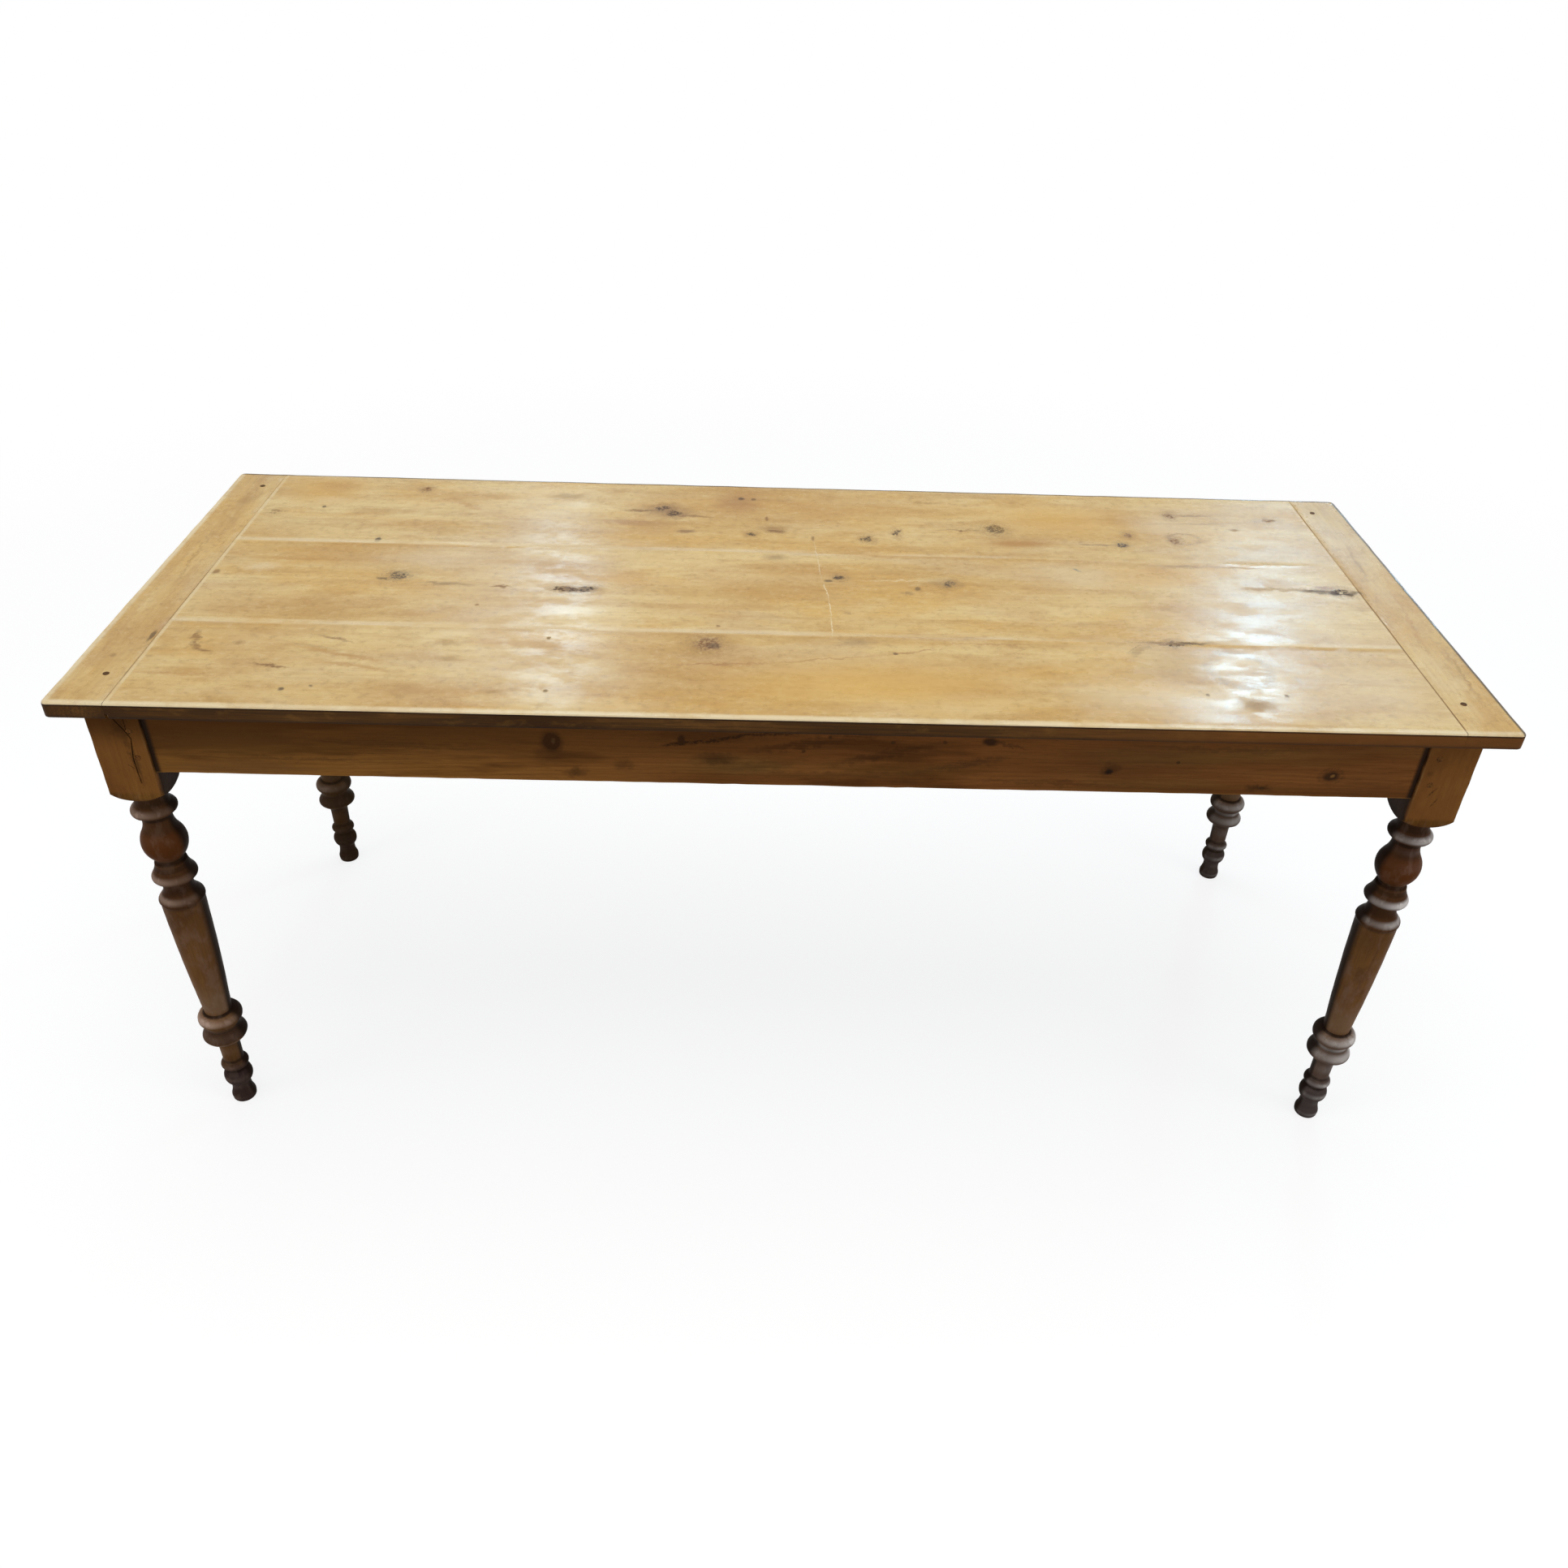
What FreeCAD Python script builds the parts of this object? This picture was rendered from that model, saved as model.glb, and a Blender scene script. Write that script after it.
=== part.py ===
import FreeCAD, Part
import math
import os

os.makedirs("parts", exist_ok=True)

# A farmhouse table: a three-plank top held by two breadboard ends, on a pegged frame with turned legs.
# All lengths are in millimetres. X runs along the table, Y from the front edge to the back edge, Z up.
# The origin is on the floor under the middle of the top.

# Overall size
table_length = 1820.0
table_width = 720.0
table_height = 760.0
end_overhang = 32.0
side_overhang = 26.0

# Top boards
top_thickness = 22.0
front_plank_width = 213.0
back_plank_width = 253.0
breadboard_width = 76.0
top_corner_radius = 9.0
top_arris_radius = 4.0
under_arris_radius = 2.0

# Tongues and grooves of the top
tongue_thickness = 7.0
edge_tongue_depth = 8.0
end_tongue_depth = 12.0
end_tongue_inset = 18.0
end_tenon_depth = 46.0
front_tenon_width = 76.0
middle_tenon_width = 90.0
back_tenon_width = 66.0
top_peg_radius = 4.0
top_peg_from_end = 52.0
top_peg_from_front = 72.0
top_peg_from_back = 52.0

# Legs
leg_size = 68.0
leg_arris_radius = 2.0
block_length = 126.0
shoulder_height = 19.0
upper_turning_length = 189.0
lower_turning_length = 190.0

# Aprons
apron_height = 100.0
apron_thickness = 22.0
apron_setback = 5.0
apron_arris_radius = 1.5
tenon_thickness = 8.0
tenon_length = 42.0
tenon_lower_shoulder = 8.0
tenon_upper_shoulder = 16.0
leg_peg_radius = 4.0
leg_peg_length = 34.0
leg_peg_setback = 16.0
leg_peg_spacing = 40.0

# Cross rail
rail_thickness = 24.0
rail_height = 58.0
rail_tenon_thickness = 8.0
rail_tenon_length = 10.0
rail_tenon_shoulder = 6.0

# Buttons and screws that hold the top down
button_slot_drop = 11.0
button_slot_height = 8.0
button_slot_depth = 9.0
button_width = 30.0
button_length = 42.0
button_gap = 2.0
button_chamfer = 5.0
button_end_distance = 120.0
long_apron_button_count = 4
short_apron_button_count = 2
screw_from_apron = 27.0
screw_shank_radius = 2.1
screw_head_radius = 4.2
screw_head_height = 3.0
screw_length = 32.0

# Clearances
joint_clearance = 0.15
tenon_end_clearance = 1.0
tenon_side_clearance = 0.8
peg_clearance = 0.1
overrun = 5.0

# The turned leg, from the shoulder down to the taper.
# Radii are shares of half the leg size and heights are shares of the upper turning, from its top.
neck_share = 0.70
upper_turning_shares = [
    ("arc", (0.62, 0.06), (0.7, 0.115)),
    ("line", (0.845, 0.14)),
    ("arc", (0.885, 0.16), (0.845, 0.18)),
    ("line", (0.64, 0.195)),
    ("arc", (0.565, 0.225), (0.58, 0.26)),
    ("arc", (0.65, 0.318), (0.765, 0.36)),
    ("arc", (0.89, 0.46), (0.6, 0.585)),
    ("line", (0.54, 0.6)),
    ("line", (0.54, 0.618)),
    ("line", (0.63, 0.63)),
    ("arc", (0.7, 0.68), (0.86, 0.735)),
    ("arc", (0.895, 0.755), (0.855, 0.775)),
    ("line", (0.65, 0.8)),
    ("arc", (0.6, 0.85), (0.67, 0.905)),
    ("line", (0.88, 0.955)),
    ("arc", (0.91, 0.975), (0.88, 0.99)),
    ("line", (0.865, 1.0)),
]
# The taper ends in the lower turning, whose heights are shares of its own length, from its top.
taper_middle_share = 0.765
taper_end_share = 0.575
lower_turning_shares = [
    ("line", (0.7, 0.015)),
    ("arc", (0.94, 0.07), (0.78, 0.125)),
    ("arc", (0.73, 0.16), (0.81, 0.2)),
    ("line", (0.915, 0.23)),
    ("arc", (0.95, 0.255), (0.9, 0.28)),
    ("arc", (0.6, 0.32), (0.46, 0.39)),
    ("line", (0.445, 0.56)),
    ("line", (0.53, 0.575)),
    ("arc", (0.605, 0.605), (0.515, 0.635)),
    ("line", (0.455, 0.645)),
    ("line", (0.46, 0.665)),
    ("arc", (0.63, 0.738), (0.45, 0.815)),
    ("arc", (0.43, 0.86), (0.515, 0.935)),
    ("arc", (0.54, 0.97), (0.485, 1.0)),
]
shoulder_middle_shares = (0.62, 0.33)

# Planes and places that follow from the sizes
half_length = table_length / 2
half_width = table_width / 2
half_leg = leg_size / 2
underside = table_height - top_thickness
top_middle = table_height - top_thickness / 2
leg_x = half_length - end_overhang - half_leg
leg_y = half_width - side_overhang - half_leg
leg_inner_x = leg_x - half_leg
leg_inner_y = leg_y - half_leg
plank_end = half_length - breadboard_width
front_joint = -half_width + front_plank_width
back_joint = half_width - back_plank_width
block_bottom = underside - block_length
turning_top = block_bottom - shoulder_height
taper_top = turning_top - upper_turning_length
apron_bottom = underside - apron_height
tenon_bottom = apron_bottom + tenon_lower_shoulder
tenon_top = underside - tenon_upper_shoulder
tenon_middle = (tenon_bottom + tenon_top) / 2
slot_top = underside - button_slot_drop
slot_bottom = slot_top - button_slot_height
long_apron_y = leg_y + half_leg - apron_setback - apron_thickness / 2
short_apron_x = leg_x + half_leg - apron_setback - apron_thickness / 2
corners = {
    "front_left": (-1, -1),
    "front_right": (1, -1),
    "back_left": (-1, 1),
    "back_right": (1, 1),
}


def box(xs, ys, zs):
    """A box between two places on each axis, given in either order."""
    low = FreeCAD.Vector(min(xs), min(ys), min(zs))
    return Part.makeBox(abs(xs[1] - xs[0]), abs(ys[1] - ys[0]), abs(zs[1] - zs[0]), low)


def cylinder(radius, start, end):
    """A round bar from one point to another."""
    start = FreeCAD.Vector(*start)
    run = FreeCAD.Vector(*end) - start
    return Part.makeCylinder(radius, run.Length, start, run)


def span(middle, width):
    """The two ends of a width about its middle."""
    return (middle - width / 2, middle + width / 2)


def round_edges(shape, radius, wanted):
    """Fillet the edges whose middle and direction the test accepts."""
    chosen = []
    for edge in shape.Edges:
        middle = edge.valueAt((edge.FirstParameter + edge.LastParameter) / 2)
        run = edge.Vertexes[-1].Point - edge.Vertexes[0].Point
        if run.Length > 0 and wanted(middle, run.normalize()):
            chosen.append(edge)
    return shape.makeFillet(radius, chosen)


def same(first, second):
    """True for two places that are the same within a hair."""
    return abs(first - second) < joint_clearance / 10


def save(shape, name):
    """Write one node as a clean solid or a group of solids."""
    shape = shape.removeSplitter()
    shape.exportStep("parts/" + name + ".step")
    print(name, len(shape.Solids), shape.isValid(), round(shape.Volume / 1000, 1))


# The middle heights of the tongues that join the top boards
tongue_zs = span(top_middle, tongue_thickness)
groove_zs = span(top_middle, tongue_thickness + 2 * joint_clearance)

# Where each plank lies, the middle and width of its end tenon, and whether a peg passes through it
planks = {
    "plank_front": {
        "ys": (-half_width, front_joint),
        "tongue_ys": (-half_width + end_tongue_inset, front_joint),
        "tenon": (-half_width + top_peg_from_front, front_tenon_width),
        "pegged": True,
    },
    "plank_middle": {
        "ys": (front_joint, back_joint),
        "tongue_ys": (front_joint, back_joint),
        "tenon": ((front_joint + back_joint) / 2, middle_tenon_width),
        "pegged": False,
    },
    "plank_back": {
        "ys": (back_joint, half_width),
        "tongue_ys": (back_joint, half_width - end_tongue_inset),
        "tenon": (half_width - top_peg_from_back, back_tenon_width),
        "pegged": True,
    },
}
top_peg_x = half_length - top_peg_from_end
top_peg_ys = [plank["tenon"][0] for plank in planks.values() if plank["pegged"]]


def button_places():
    """Middle of each button's back edge, the way it points, and the node it belongs to."""
    places = []
    long_reach = leg_inner_x - button_end_distance
    for index in range(long_apron_button_count):
        x = -long_reach + 2 * long_reach * index / (long_apron_button_count - 1)
        for side, name in ((-1, "buttons_front"), (1, "buttons_back")):
            y = side * (long_apron_y - apron_thickness / 2)
            places.append((name, (x, y), (0, -side)))
    short_reach = leg_inner_y - button_end_distance
    for index in range(short_apron_button_count):
        y = -short_reach + 2 * short_reach * index / (short_apron_button_count - 1)
        for side, name in ((-1, "buttons_left"), (1, "buttons_right")):
            x = side * (short_apron_x - apron_thickness / 2)
            places.append((name, (x, y), (-side, 0)))
    return places


def screw_place(place, way):
    """Where a button's screw stands, in plan."""
    return (place[0] + way[0] * screw_from_apron, place[1] + way[1] * screw_from_apron)


def screw_holes(radius):
    """The pilot holes of all screws in the top boards."""
    holes = []
    tip = slot_bottom + screw_length
    for name, place, way in button_places():
        x, y = screw_place(place, way)
        holes.append(cylinder(radius, (x, y, underside - overrun), (x, y, tip + tenon_end_clearance)))
    return holes


def top_peg_holes(side):
    """Holes through a breadboard end and the tenons in it."""
    holes = []
    for y in top_peg_ys:
        x = side * top_peg_x
        start = (x, y, underside - overrun)
        end = (x, y, table_height + overrun)
        holes.append(cylinder(top_peg_radius + peg_clearance, start, end))
    return holes


def plank(name):
    """One long board of the top, with its edge joint, end tongues and end tenons."""
    ys = planks[name]["ys"]
    body = box((-plank_end, plank_end), ys, (underside, table_height))
    front_edge = same(ys[0], -half_width)
    back_edge = same(ys[1], half_width)
    outer_y = -half_width if front_edge else half_width
    if front_edge or back_edge:
        body = round_edges(
            body, top_arris_radius,
            lambda p, run: same(abs(run.x), 1) and same(p.y, outer_y) and same(p.z, table_height))
        body = round_edges(
            body, under_arris_radius,
            lambda p, run: same(abs(run.x), 1) and same(p.y, outer_y) and same(p.z, underside))
    pieces = []
    if not back_edge:
        pieces.append(box((-plank_end, plank_end), (ys[1], ys[1] + edge_tongue_depth), tongue_zs))
    tenon_ys = span(*planks[name]["tenon"])
    for side in (-1, 1):
        tongue_end = side * (plank_end + end_tongue_depth)
        tenon_end = side * (plank_end + end_tenon_depth)
        pieces.append(box((side * plank_end, tongue_end), planks[name]["tongue_ys"], tongue_zs))
        pieces.append(box((side * plank_end, tenon_end), tenon_ys, tongue_zs))
    body = body.fuse(pieces)
    cuts = screw_holes(screw_shank_radius + joint_clearance)
    if not front_edge:
        groove_ys = (ys[0] - overrun, ys[0] + edge_tongue_depth + joint_clearance)
        cuts.append(box((-plank_end, plank_end), groove_ys, groove_zs))
    if planks[name]["pegged"]:
        cuts += top_peg_holes(-1) + top_peg_holes(1)
    return body.cut(cuts)


def breadboard(side):
    """A board across the plank ends, grooved and mortised for them."""
    inner = side * plank_end
    outer = side * half_length
    body = box((inner, outer), (-half_width, half_width), (underside, table_height))
    body = round_edges(
        body, top_corner_radius,
        lambda p, run: same(abs(run.z), 1) and same(p.x, outer))
    body = round_edges(
        body, top_arris_radius,
        lambda p, run: same(p.z, table_height) and not same(p.x, inner))
    body = round_edges(
        body, under_arris_radius,
        lambda p, run: same(p.z, underside) and not same(p.x, inner))
    groove_reach = half_width - end_tongue_inset + tenon_side_clearance
    groove_end = side * (plank_end + end_tongue_depth + tenon_end_clearance)
    mortise_end = side * (plank_end + end_tenon_depth + tenon_end_clearance)
    start = side * (plank_end - overrun)
    cuts = [box((start, groove_end), (-groove_reach, groove_reach), groove_zs)]
    for entry in planks.values():
        middle, width = entry["tenon"]
        mortise_ys = span(middle, width + 2 * tenon_side_clearance)
        cuts.append(box((start, mortise_end), mortise_ys, groove_zs))
    return body.cut(cuts + top_peg_holes(side) + screw_holes(screw_shank_radius + joint_clearance))


def breadboard_pegs(side):
    """The round pegs that lock one breadboard end."""
    pegs = []
    for y in top_peg_ys:
        x = side * top_peg_x
        pegs.append(cylinder(top_peg_radius, (x, y, underside), (x, y, table_height)))
    return Part.makeCompound(pegs)


def profile_point(shares, top, length):
    """A point of the leg's outline from its radius and height shares."""
    return FreeCAD.Vector(shares[0] * half_leg, 0, top - shares[1] * length)


def turning():
    """The round part of a leg, turned about the Z axis from the shoulder to the floor."""
    edges = []
    here = FreeCAD.Vector(neck_share * half_leg, 0, turning_top)
    edges.append(Part.LineSegment(FreeCAD.Vector(0, 0, turning_top), here).toShape())
    sections = (
        (upper_turning_shares, turning_top, upper_turning_length),
        (None, taper_top, taper_top - lower_turning_length),
        (lower_turning_shares, lower_turning_length, lower_turning_length),
    )
    for table, top, length in sections:
        if table is None:
            table = [("arc", (taper_middle_share, 0.5), (taper_end_share, 1.0))]
        for kind, *shares in table:
            points = [profile_point(entry, top, length) for entry in shares]
            if kind == "line":
                curve = Part.LineSegment(here, points[-1])
            else:
                curve = Part.Arc(here, points[0], points[1])
            edges.append(curve.toShape())
            here = points[-1]
    sole_middle = FreeCAD.Vector(0, 0, 0)
    edges.append(Part.LineSegment(here, sole_middle).toShape())
    edges.append(Part.LineSegment(sole_middle, FreeCAD.Vector(0, 0, turning_top)).toShape())
    face = Part.Face(Part.Wire(edges))
    return face.revolve(sole_middle, FreeCAD.Vector(0, 0, 1), 360)


def leg_block():
    """The square head of a leg, with the rounded shoulder that the lathe leaves at its foot."""
    head = box((-half_leg, half_leg), (-half_leg, half_leg), (turning_top, underside))
    head = round_edges(head, leg_arris_radius, lambda p, run: same(abs(run.z), 1))
    reach = half_leg * math.sqrt(2) + overrun
    neck = neck_share * half_leg
    middle_shares = shoulder_middle_shares
    arc_start = FreeCAD.Vector(neck, 0, turning_top)
    arc_end = FreeCAD.Vector(reach, 0, block_bottom + overrun)
    rise = arc_end.z - arc_start.z
    arc_middle = FreeCAD.Vector(
        neck + middle_shares[0] * (reach - neck), 0, turning_top + middle_shares[1] * rise)
    corner = FreeCAD.Vector(reach, 0, underside + overrun)
    axis_top = FreeCAD.Vector(0, 0, underside + overrun)
    axis_foot = FreeCAD.Vector(0, 0, turning_top)
    edges = [
        Part.LineSegment(axis_foot, arc_start).toShape(),
        Part.Arc(arc_start, arc_middle, arc_end).toShape(),
        Part.LineSegment(arc_end, corner).toShape(),
        Part.LineSegment(corner, axis_top).toShape(),
        Part.LineSegment(axis_top, axis_foot).toShape(),
    ]
    envelope = Part.Face(Part.Wire(edges)).revolve(axis_foot, FreeCAD.Vector(0, 0, 1), 360)
    return head.common(envelope)


def leg_peg_lines(sx, sy):
    """Start and end of each peg of one leg: two through each tenon, from the outer faces."""
    lines = []
    for z in span(tenon_middle, leg_peg_spacing):
        x = sx * (leg_inner_x + leg_peg_setback)
        y = sy * (leg_y + half_leg)
        lines.append(((x, y, z), (x, y - sy * leg_peg_length, z)))
        x = sx * (leg_x + half_leg)
        y = sy * (leg_inner_y + leg_peg_setback)
        lines.append(((x, y, z), (x - sx * leg_peg_length, y, z)))
    return lines


def leg_peg_holes(sx, sy):
    """The bored holes of one leg's pegs, a little wider and deeper than the pegs."""
    holes = []
    for start, end in leg_peg_lines(sx, sy):
        start = FreeCAD.Vector(*start)
        end = FreeCAD.Vector(*end)
        way = (end - start).normalize()
        far = end + way * tenon_end_clearance
        near = start - way * overrun
        holes.append(cylinder(leg_peg_radius + peg_clearance, near, far))
    return holes


def leg(turned, sx, sy):
    """One leg: the turned foot and its square head with two mortises and four peg holes."""
    body = turned.copy()
    body.translate(FreeCAD.Vector(sx * leg_x, sy * leg_y, 0))
    thickness = tenon_thickness + 2 * joint_clearance
    depth = tenon_length + tenon_end_clearance
    mortise_zs = (tenon_bottom - joint_clearance, tenon_top + joint_clearance)
    cuts = [
        box((sx * (leg_inner_x - overrun), sx * (leg_inner_x + depth)),
            span(sy * long_apron_y, thickness), mortise_zs),
        box(span(sx * short_apron_x, thickness),
            (sy * (leg_inner_y - overrun), sy * (leg_inner_y + depth)), mortise_zs),
    ]
    return body.cut(cuts + leg_peg_holes(sx, sy))


def leg_pegs(sx, sy):
    """The four pegs that lock one leg to its two aprons."""
    pegs = [cylinder(leg_peg_radius, start, end) for start, end in leg_peg_lines(sx, sy)]
    return Part.makeCompound(pegs)


def long_apron(side):
    """The front or back apron: tenons in two legs, a slot for the buttons, a mortise for the rail."""
    y = side * long_apron_y
    ys = span(y, apron_thickness)
    inner_y = side * (long_apron_y - apron_thickness / 2)
    body = box((-leg_inner_x, leg_inner_x), ys, (apron_bottom, underside))
    body = round_edges(
        body, apron_arris_radius,
        lambda p, run: same(abs(run.x), 1) and same(p.z, apron_bottom))
    reach = leg_inner_x + tenon_length
    body = body.fuse(box((-reach, reach), span(y, tenon_thickness), (tenon_bottom, tenon_top)))
    slot_end = inner_y + side * button_slot_depth
    cuts = [box((-leg_inner_x, leg_inner_x), (inner_y - side * overrun, slot_end), (slot_bottom, slot_top))]
    mortise_end = inner_y + side * (rail_tenon_length + tenon_end_clearance)
    mortise_zs = (rail_tenon_zs()[0] - joint_clearance, rail_tenon_zs()[1] + joint_clearance)
    cuts.append(box(span(0, rail_tenon_thickness + 2 * joint_clearance),
                    (inner_y - side * overrun, mortise_end), mortise_zs))
    for sx in (-1, 1):
        cuts += leg_peg_holes(sx, side)
    return body.cut(cuts)


def short_apron(side):
    """The apron at one end: tenons in two legs and a slot for the buttons."""
    x = side * short_apron_x
    inner_x = side * (short_apron_x - apron_thickness / 2)
    body = box(span(x, apron_thickness), (-leg_inner_y, leg_inner_y), (apron_bottom, underside))
    body = round_edges(
        body, apron_arris_radius,
        lambda p, run: same(abs(run.y), 1) and same(p.z, apron_bottom))
    reach = leg_inner_y + tenon_length
    body = body.fuse(box(span(x, tenon_thickness), (-reach, reach), (tenon_bottom, tenon_top)))
    slot_end = inner_x + side * button_slot_depth
    cuts = [box((inner_x - side * overrun, slot_end), (-leg_inner_y, leg_inner_y), (slot_bottom, slot_top))]
    for sy in (-1, 1):
        cuts += leg_peg_holes(side, sy)
    return body.cut(cuts)


def rail_tenon_zs():
    """Lower and upper face of the cross rail's stub tenons, kept below the button slot."""
    return (underside - rail_height + rail_tenon_shoulder, slot_bottom - rail_tenon_shoulder)


def cross_rail():
    """The rail across the middle that stiffens the aprons and carries the top."""
    inner_y = long_apron_y - apron_thickness / 2
    body = box(span(0, rail_thickness), (-inner_y, inner_y), (underside - rail_height, underside))
    reach = inner_y + rail_tenon_length
    return body.fuse(box(span(0, rail_tenon_thickness), (-reach, reach), rail_tenon_zs()))


def screw(x, y):
    """A countersunk screw, driven up through a button into the top."""
    shank = Part.makeCylinder(
        screw_shank_radius, screw_length - screw_head_height,
        FreeCAD.Vector(x, y, slot_bottom + screw_head_height))
    head = Part.makeCone(
        screw_head_radius, screw_shank_radius, screw_head_height, FreeCAD.Vector(x, y, slot_bottom))
    return shank.fuse(head)


def button(place, way):
    """A wooden button: a block under the top whose tongue sits in the apron's slot."""
    across = (-way[1], way[0])

    def corner_box(near, far, width, zs):
        ends = []
        for distance, half in ((near, -width / 2), (far, width / 2)):
            ends.append((place[0] + way[0] * distance + across[0] * half,
                         place[1] + way[1] * distance + across[1] * half))
        return box((ends[0][0], ends[1][0]), (ends[0][1], ends[1][1]), zs)

    block = corner_box(button_gap, button_length, button_width, (slot_bottom, underside))
    far_x = place[0] + way[0] * button_length
    far_y = place[1] + way[1] * button_length
    block = block.makeChamfer(button_chamfer, [
        edge for edge in block.Edges
        if same(edge.Vertexes[0].Z, slot_bottom) and same(edge.Vertexes[1].Z, slot_bottom)
        and all(same(v.X if way[0] else v.Y, far_x if way[0] else far_y) for v in edge.Vertexes)
    ])
    tongue_reach = tenon_end_clearance - button_slot_depth
    tongue = corner_box(tongue_reach, button_gap, button_width,
                        (slot_bottom + joint_clearance, slot_top - joint_clearance))
    x, y = screw_place(place, way)
    hole = cylinder(screw_shank_radius + joint_clearance, (x, y, slot_bottom - overrun),
                    (x, y, underside + overrun))
    sink = Part.makeCone(
        screw_head_radius + joint_clearance, screw_shank_radius + joint_clearance,
        screw_head_height, FreeCAD.Vector(x, y, slot_bottom))
    return block.fuse(tongue).cut([hole, sink])


for plank_name in planks:
    save(plank(plank_name), plank_name)
for side, side_name in ((-1, "left"), (1, "right")):
    save(breadboard(side), "breadboard_" + side_name)
    save(breadboard_pegs(side), "breadboard_pegs_" + side_name)
    save(short_apron(side), "apron_" + side_name)
for side, side_name in ((-1, "front"), (1, "back")):
    save(long_apron(side), "apron_" + side_name)
turned_leg = leg_block().fuse(turning()).removeSplitter()
for corner_name, (sx, sy) in corners.items():
    save(leg(turned_leg, sx, sy), "leg_" + corner_name)
    save(leg_pegs(sx, sy), "leg_pegs_" + corner_name)
save(cross_rail(), "cross_rail")
for group in ("buttons_front", "buttons_back", "buttons_left", "buttons_right"):
    buttons = [button(place, way) for name, place, way in button_places() if name == group]
    screws = [screw(*screw_place(place, way)) for name, place, way in button_places() if name == group]
    save(Part.makeCompound(buttons), group)
    save(Part.makeCompound(screws), group.replace("buttons", "screws"))
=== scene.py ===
import math

import bmesh
import bpy
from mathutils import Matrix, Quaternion, Vector


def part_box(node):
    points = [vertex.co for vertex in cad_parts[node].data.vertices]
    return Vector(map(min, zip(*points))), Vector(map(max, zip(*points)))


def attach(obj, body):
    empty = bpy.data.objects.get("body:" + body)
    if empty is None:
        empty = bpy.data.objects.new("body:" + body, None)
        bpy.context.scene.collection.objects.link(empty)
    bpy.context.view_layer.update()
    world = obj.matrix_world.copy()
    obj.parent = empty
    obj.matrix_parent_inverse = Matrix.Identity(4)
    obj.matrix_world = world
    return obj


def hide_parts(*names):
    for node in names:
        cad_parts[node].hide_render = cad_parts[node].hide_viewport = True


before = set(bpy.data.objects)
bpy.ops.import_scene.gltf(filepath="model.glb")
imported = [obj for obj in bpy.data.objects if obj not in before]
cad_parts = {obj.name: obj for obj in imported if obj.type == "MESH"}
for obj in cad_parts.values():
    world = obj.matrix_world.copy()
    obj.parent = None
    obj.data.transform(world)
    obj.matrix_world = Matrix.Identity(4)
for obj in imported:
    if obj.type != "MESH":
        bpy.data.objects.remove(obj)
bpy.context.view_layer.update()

bl_info = {
    "name": "Farmhouse table",
    "version": (1, 0, 0),
    "blender": (4, 5, 0),
    "location": "3D View > Sidebar > Table",
    "description": "Builds a plank-topped farmhouse table with breadboard ends and turned legs",
    "category": "Object",
}

mm = 0.001

# Places taken from the frame, in metres. X runs along the table, Y to the back, Z up.
top_low, top_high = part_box("breadboard_right")
half_length = top_high.x
half_width = top_high.y
table_height = top_high.z
top_thickness = top_high.z - top_low.z
underside = top_low.z
plank_end = top_low.x
front_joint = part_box("plank_middle")[0].y
back_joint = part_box("plank_back")[0].y
leg_low, leg_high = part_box("leg_front_right")
leg_size = leg_high.x - leg_low.x
leg_x = (leg_low.x + leg_high.x) / 2
leg_y = -(leg_low.y + leg_high.y) / 2
leg_inner_x = leg_x - leg_size / 2
leg_inner_y = leg_y - leg_size / 2
apron_low, apron_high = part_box("apron_front")
apron_bottom = apron_low.z
apron_thickness = apron_high.y - apron_low.y
long_apron_y = -(apron_low.y + apron_high.y) / 2
side_low, side_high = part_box("apron_right")
short_apron_x = (side_low.x + side_high.x) / 2
rail_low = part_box("cross_rail")[0]

# Joinery of the frame, in metres
tongue_thickness = 7 * mm
edge_tongue = 8 * mm
end_tongue = 12 * mm
end_tenon = 46 * mm
end_tongue_inset = 18 * mm
joint_play = 0.15 * mm
tenon_play = 0.8 * mm
tenon_thickness = 8 * mm
tenon_length = 42 * mm
tenon_bottom = apron_bottom + 8 * mm
tenon_top = underside - 16 * mm
slot_top = underside - 11 * mm
slot_bottom = slot_top - 8 * mm
slot_depth = 9 * mm
peg_hole_radius = 4.1 * mm
leg_peg_length = 34 * mm
leg_peg_inset = 16 * mm
leg_peg_rise = 20 * mm
rail_tenon_thickness = 8 * mm
rail_tenon_length = 10 * mm
rail_shoulder = 6 * mm
crack_depth = 7 * mm

top_middle = table_height - top_thickness / 2
tongue_zs = (top_middle - tongue_thickness / 2, top_middle + tongue_thickness / 2)
groove_zs = (tongue_zs[0] - joint_play, tongue_zs[1] + joint_play)
# How far the long and the short aprons reach along their own axis, and their places across it
apron_lines = ((leg_inner_x, long_apron_y), (leg_inner_y, short_apron_x))
# Width of the strips that a board's face is divided into
strip = 12 * mm
# How far a cutter passes the face that it starts from, and its room past the end of what it makes room for
overshoot = 5 * mm
end_play = 1 * mm
# How far the outer coat of a board reaches in from its face
coat_reach = 2.5 * mm

top_peg_x = half_length - 52 * mm
top_peg_ys = (-half_width + 72 * mm, half_width - 52 * mm)
# Each plank: its edges across the top, the edges of its end tongue, and the middle and width of its end tenon
planks = {
    "plank_front": ((-half_width, front_joint), (-half_width + end_tongue_inset, front_joint),
                    (top_peg_ys[0], 76 * mm)),
    "plank_middle": ((front_joint, back_joint), (front_joint, back_joint),
                     ((front_joint + back_joint) / 2, 90 * mm)),
    "plank_back": ((back_joint, half_width), (back_joint, half_width - end_tongue_inset),
                   (top_peg_ys[1], 66 * mm)),
}
corners = {
    "front_left": (-1, -1),
    "front_right": (1, -1),
    "back_left": (-1, 1),
    "back_right": (1, 1),
}

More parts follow.
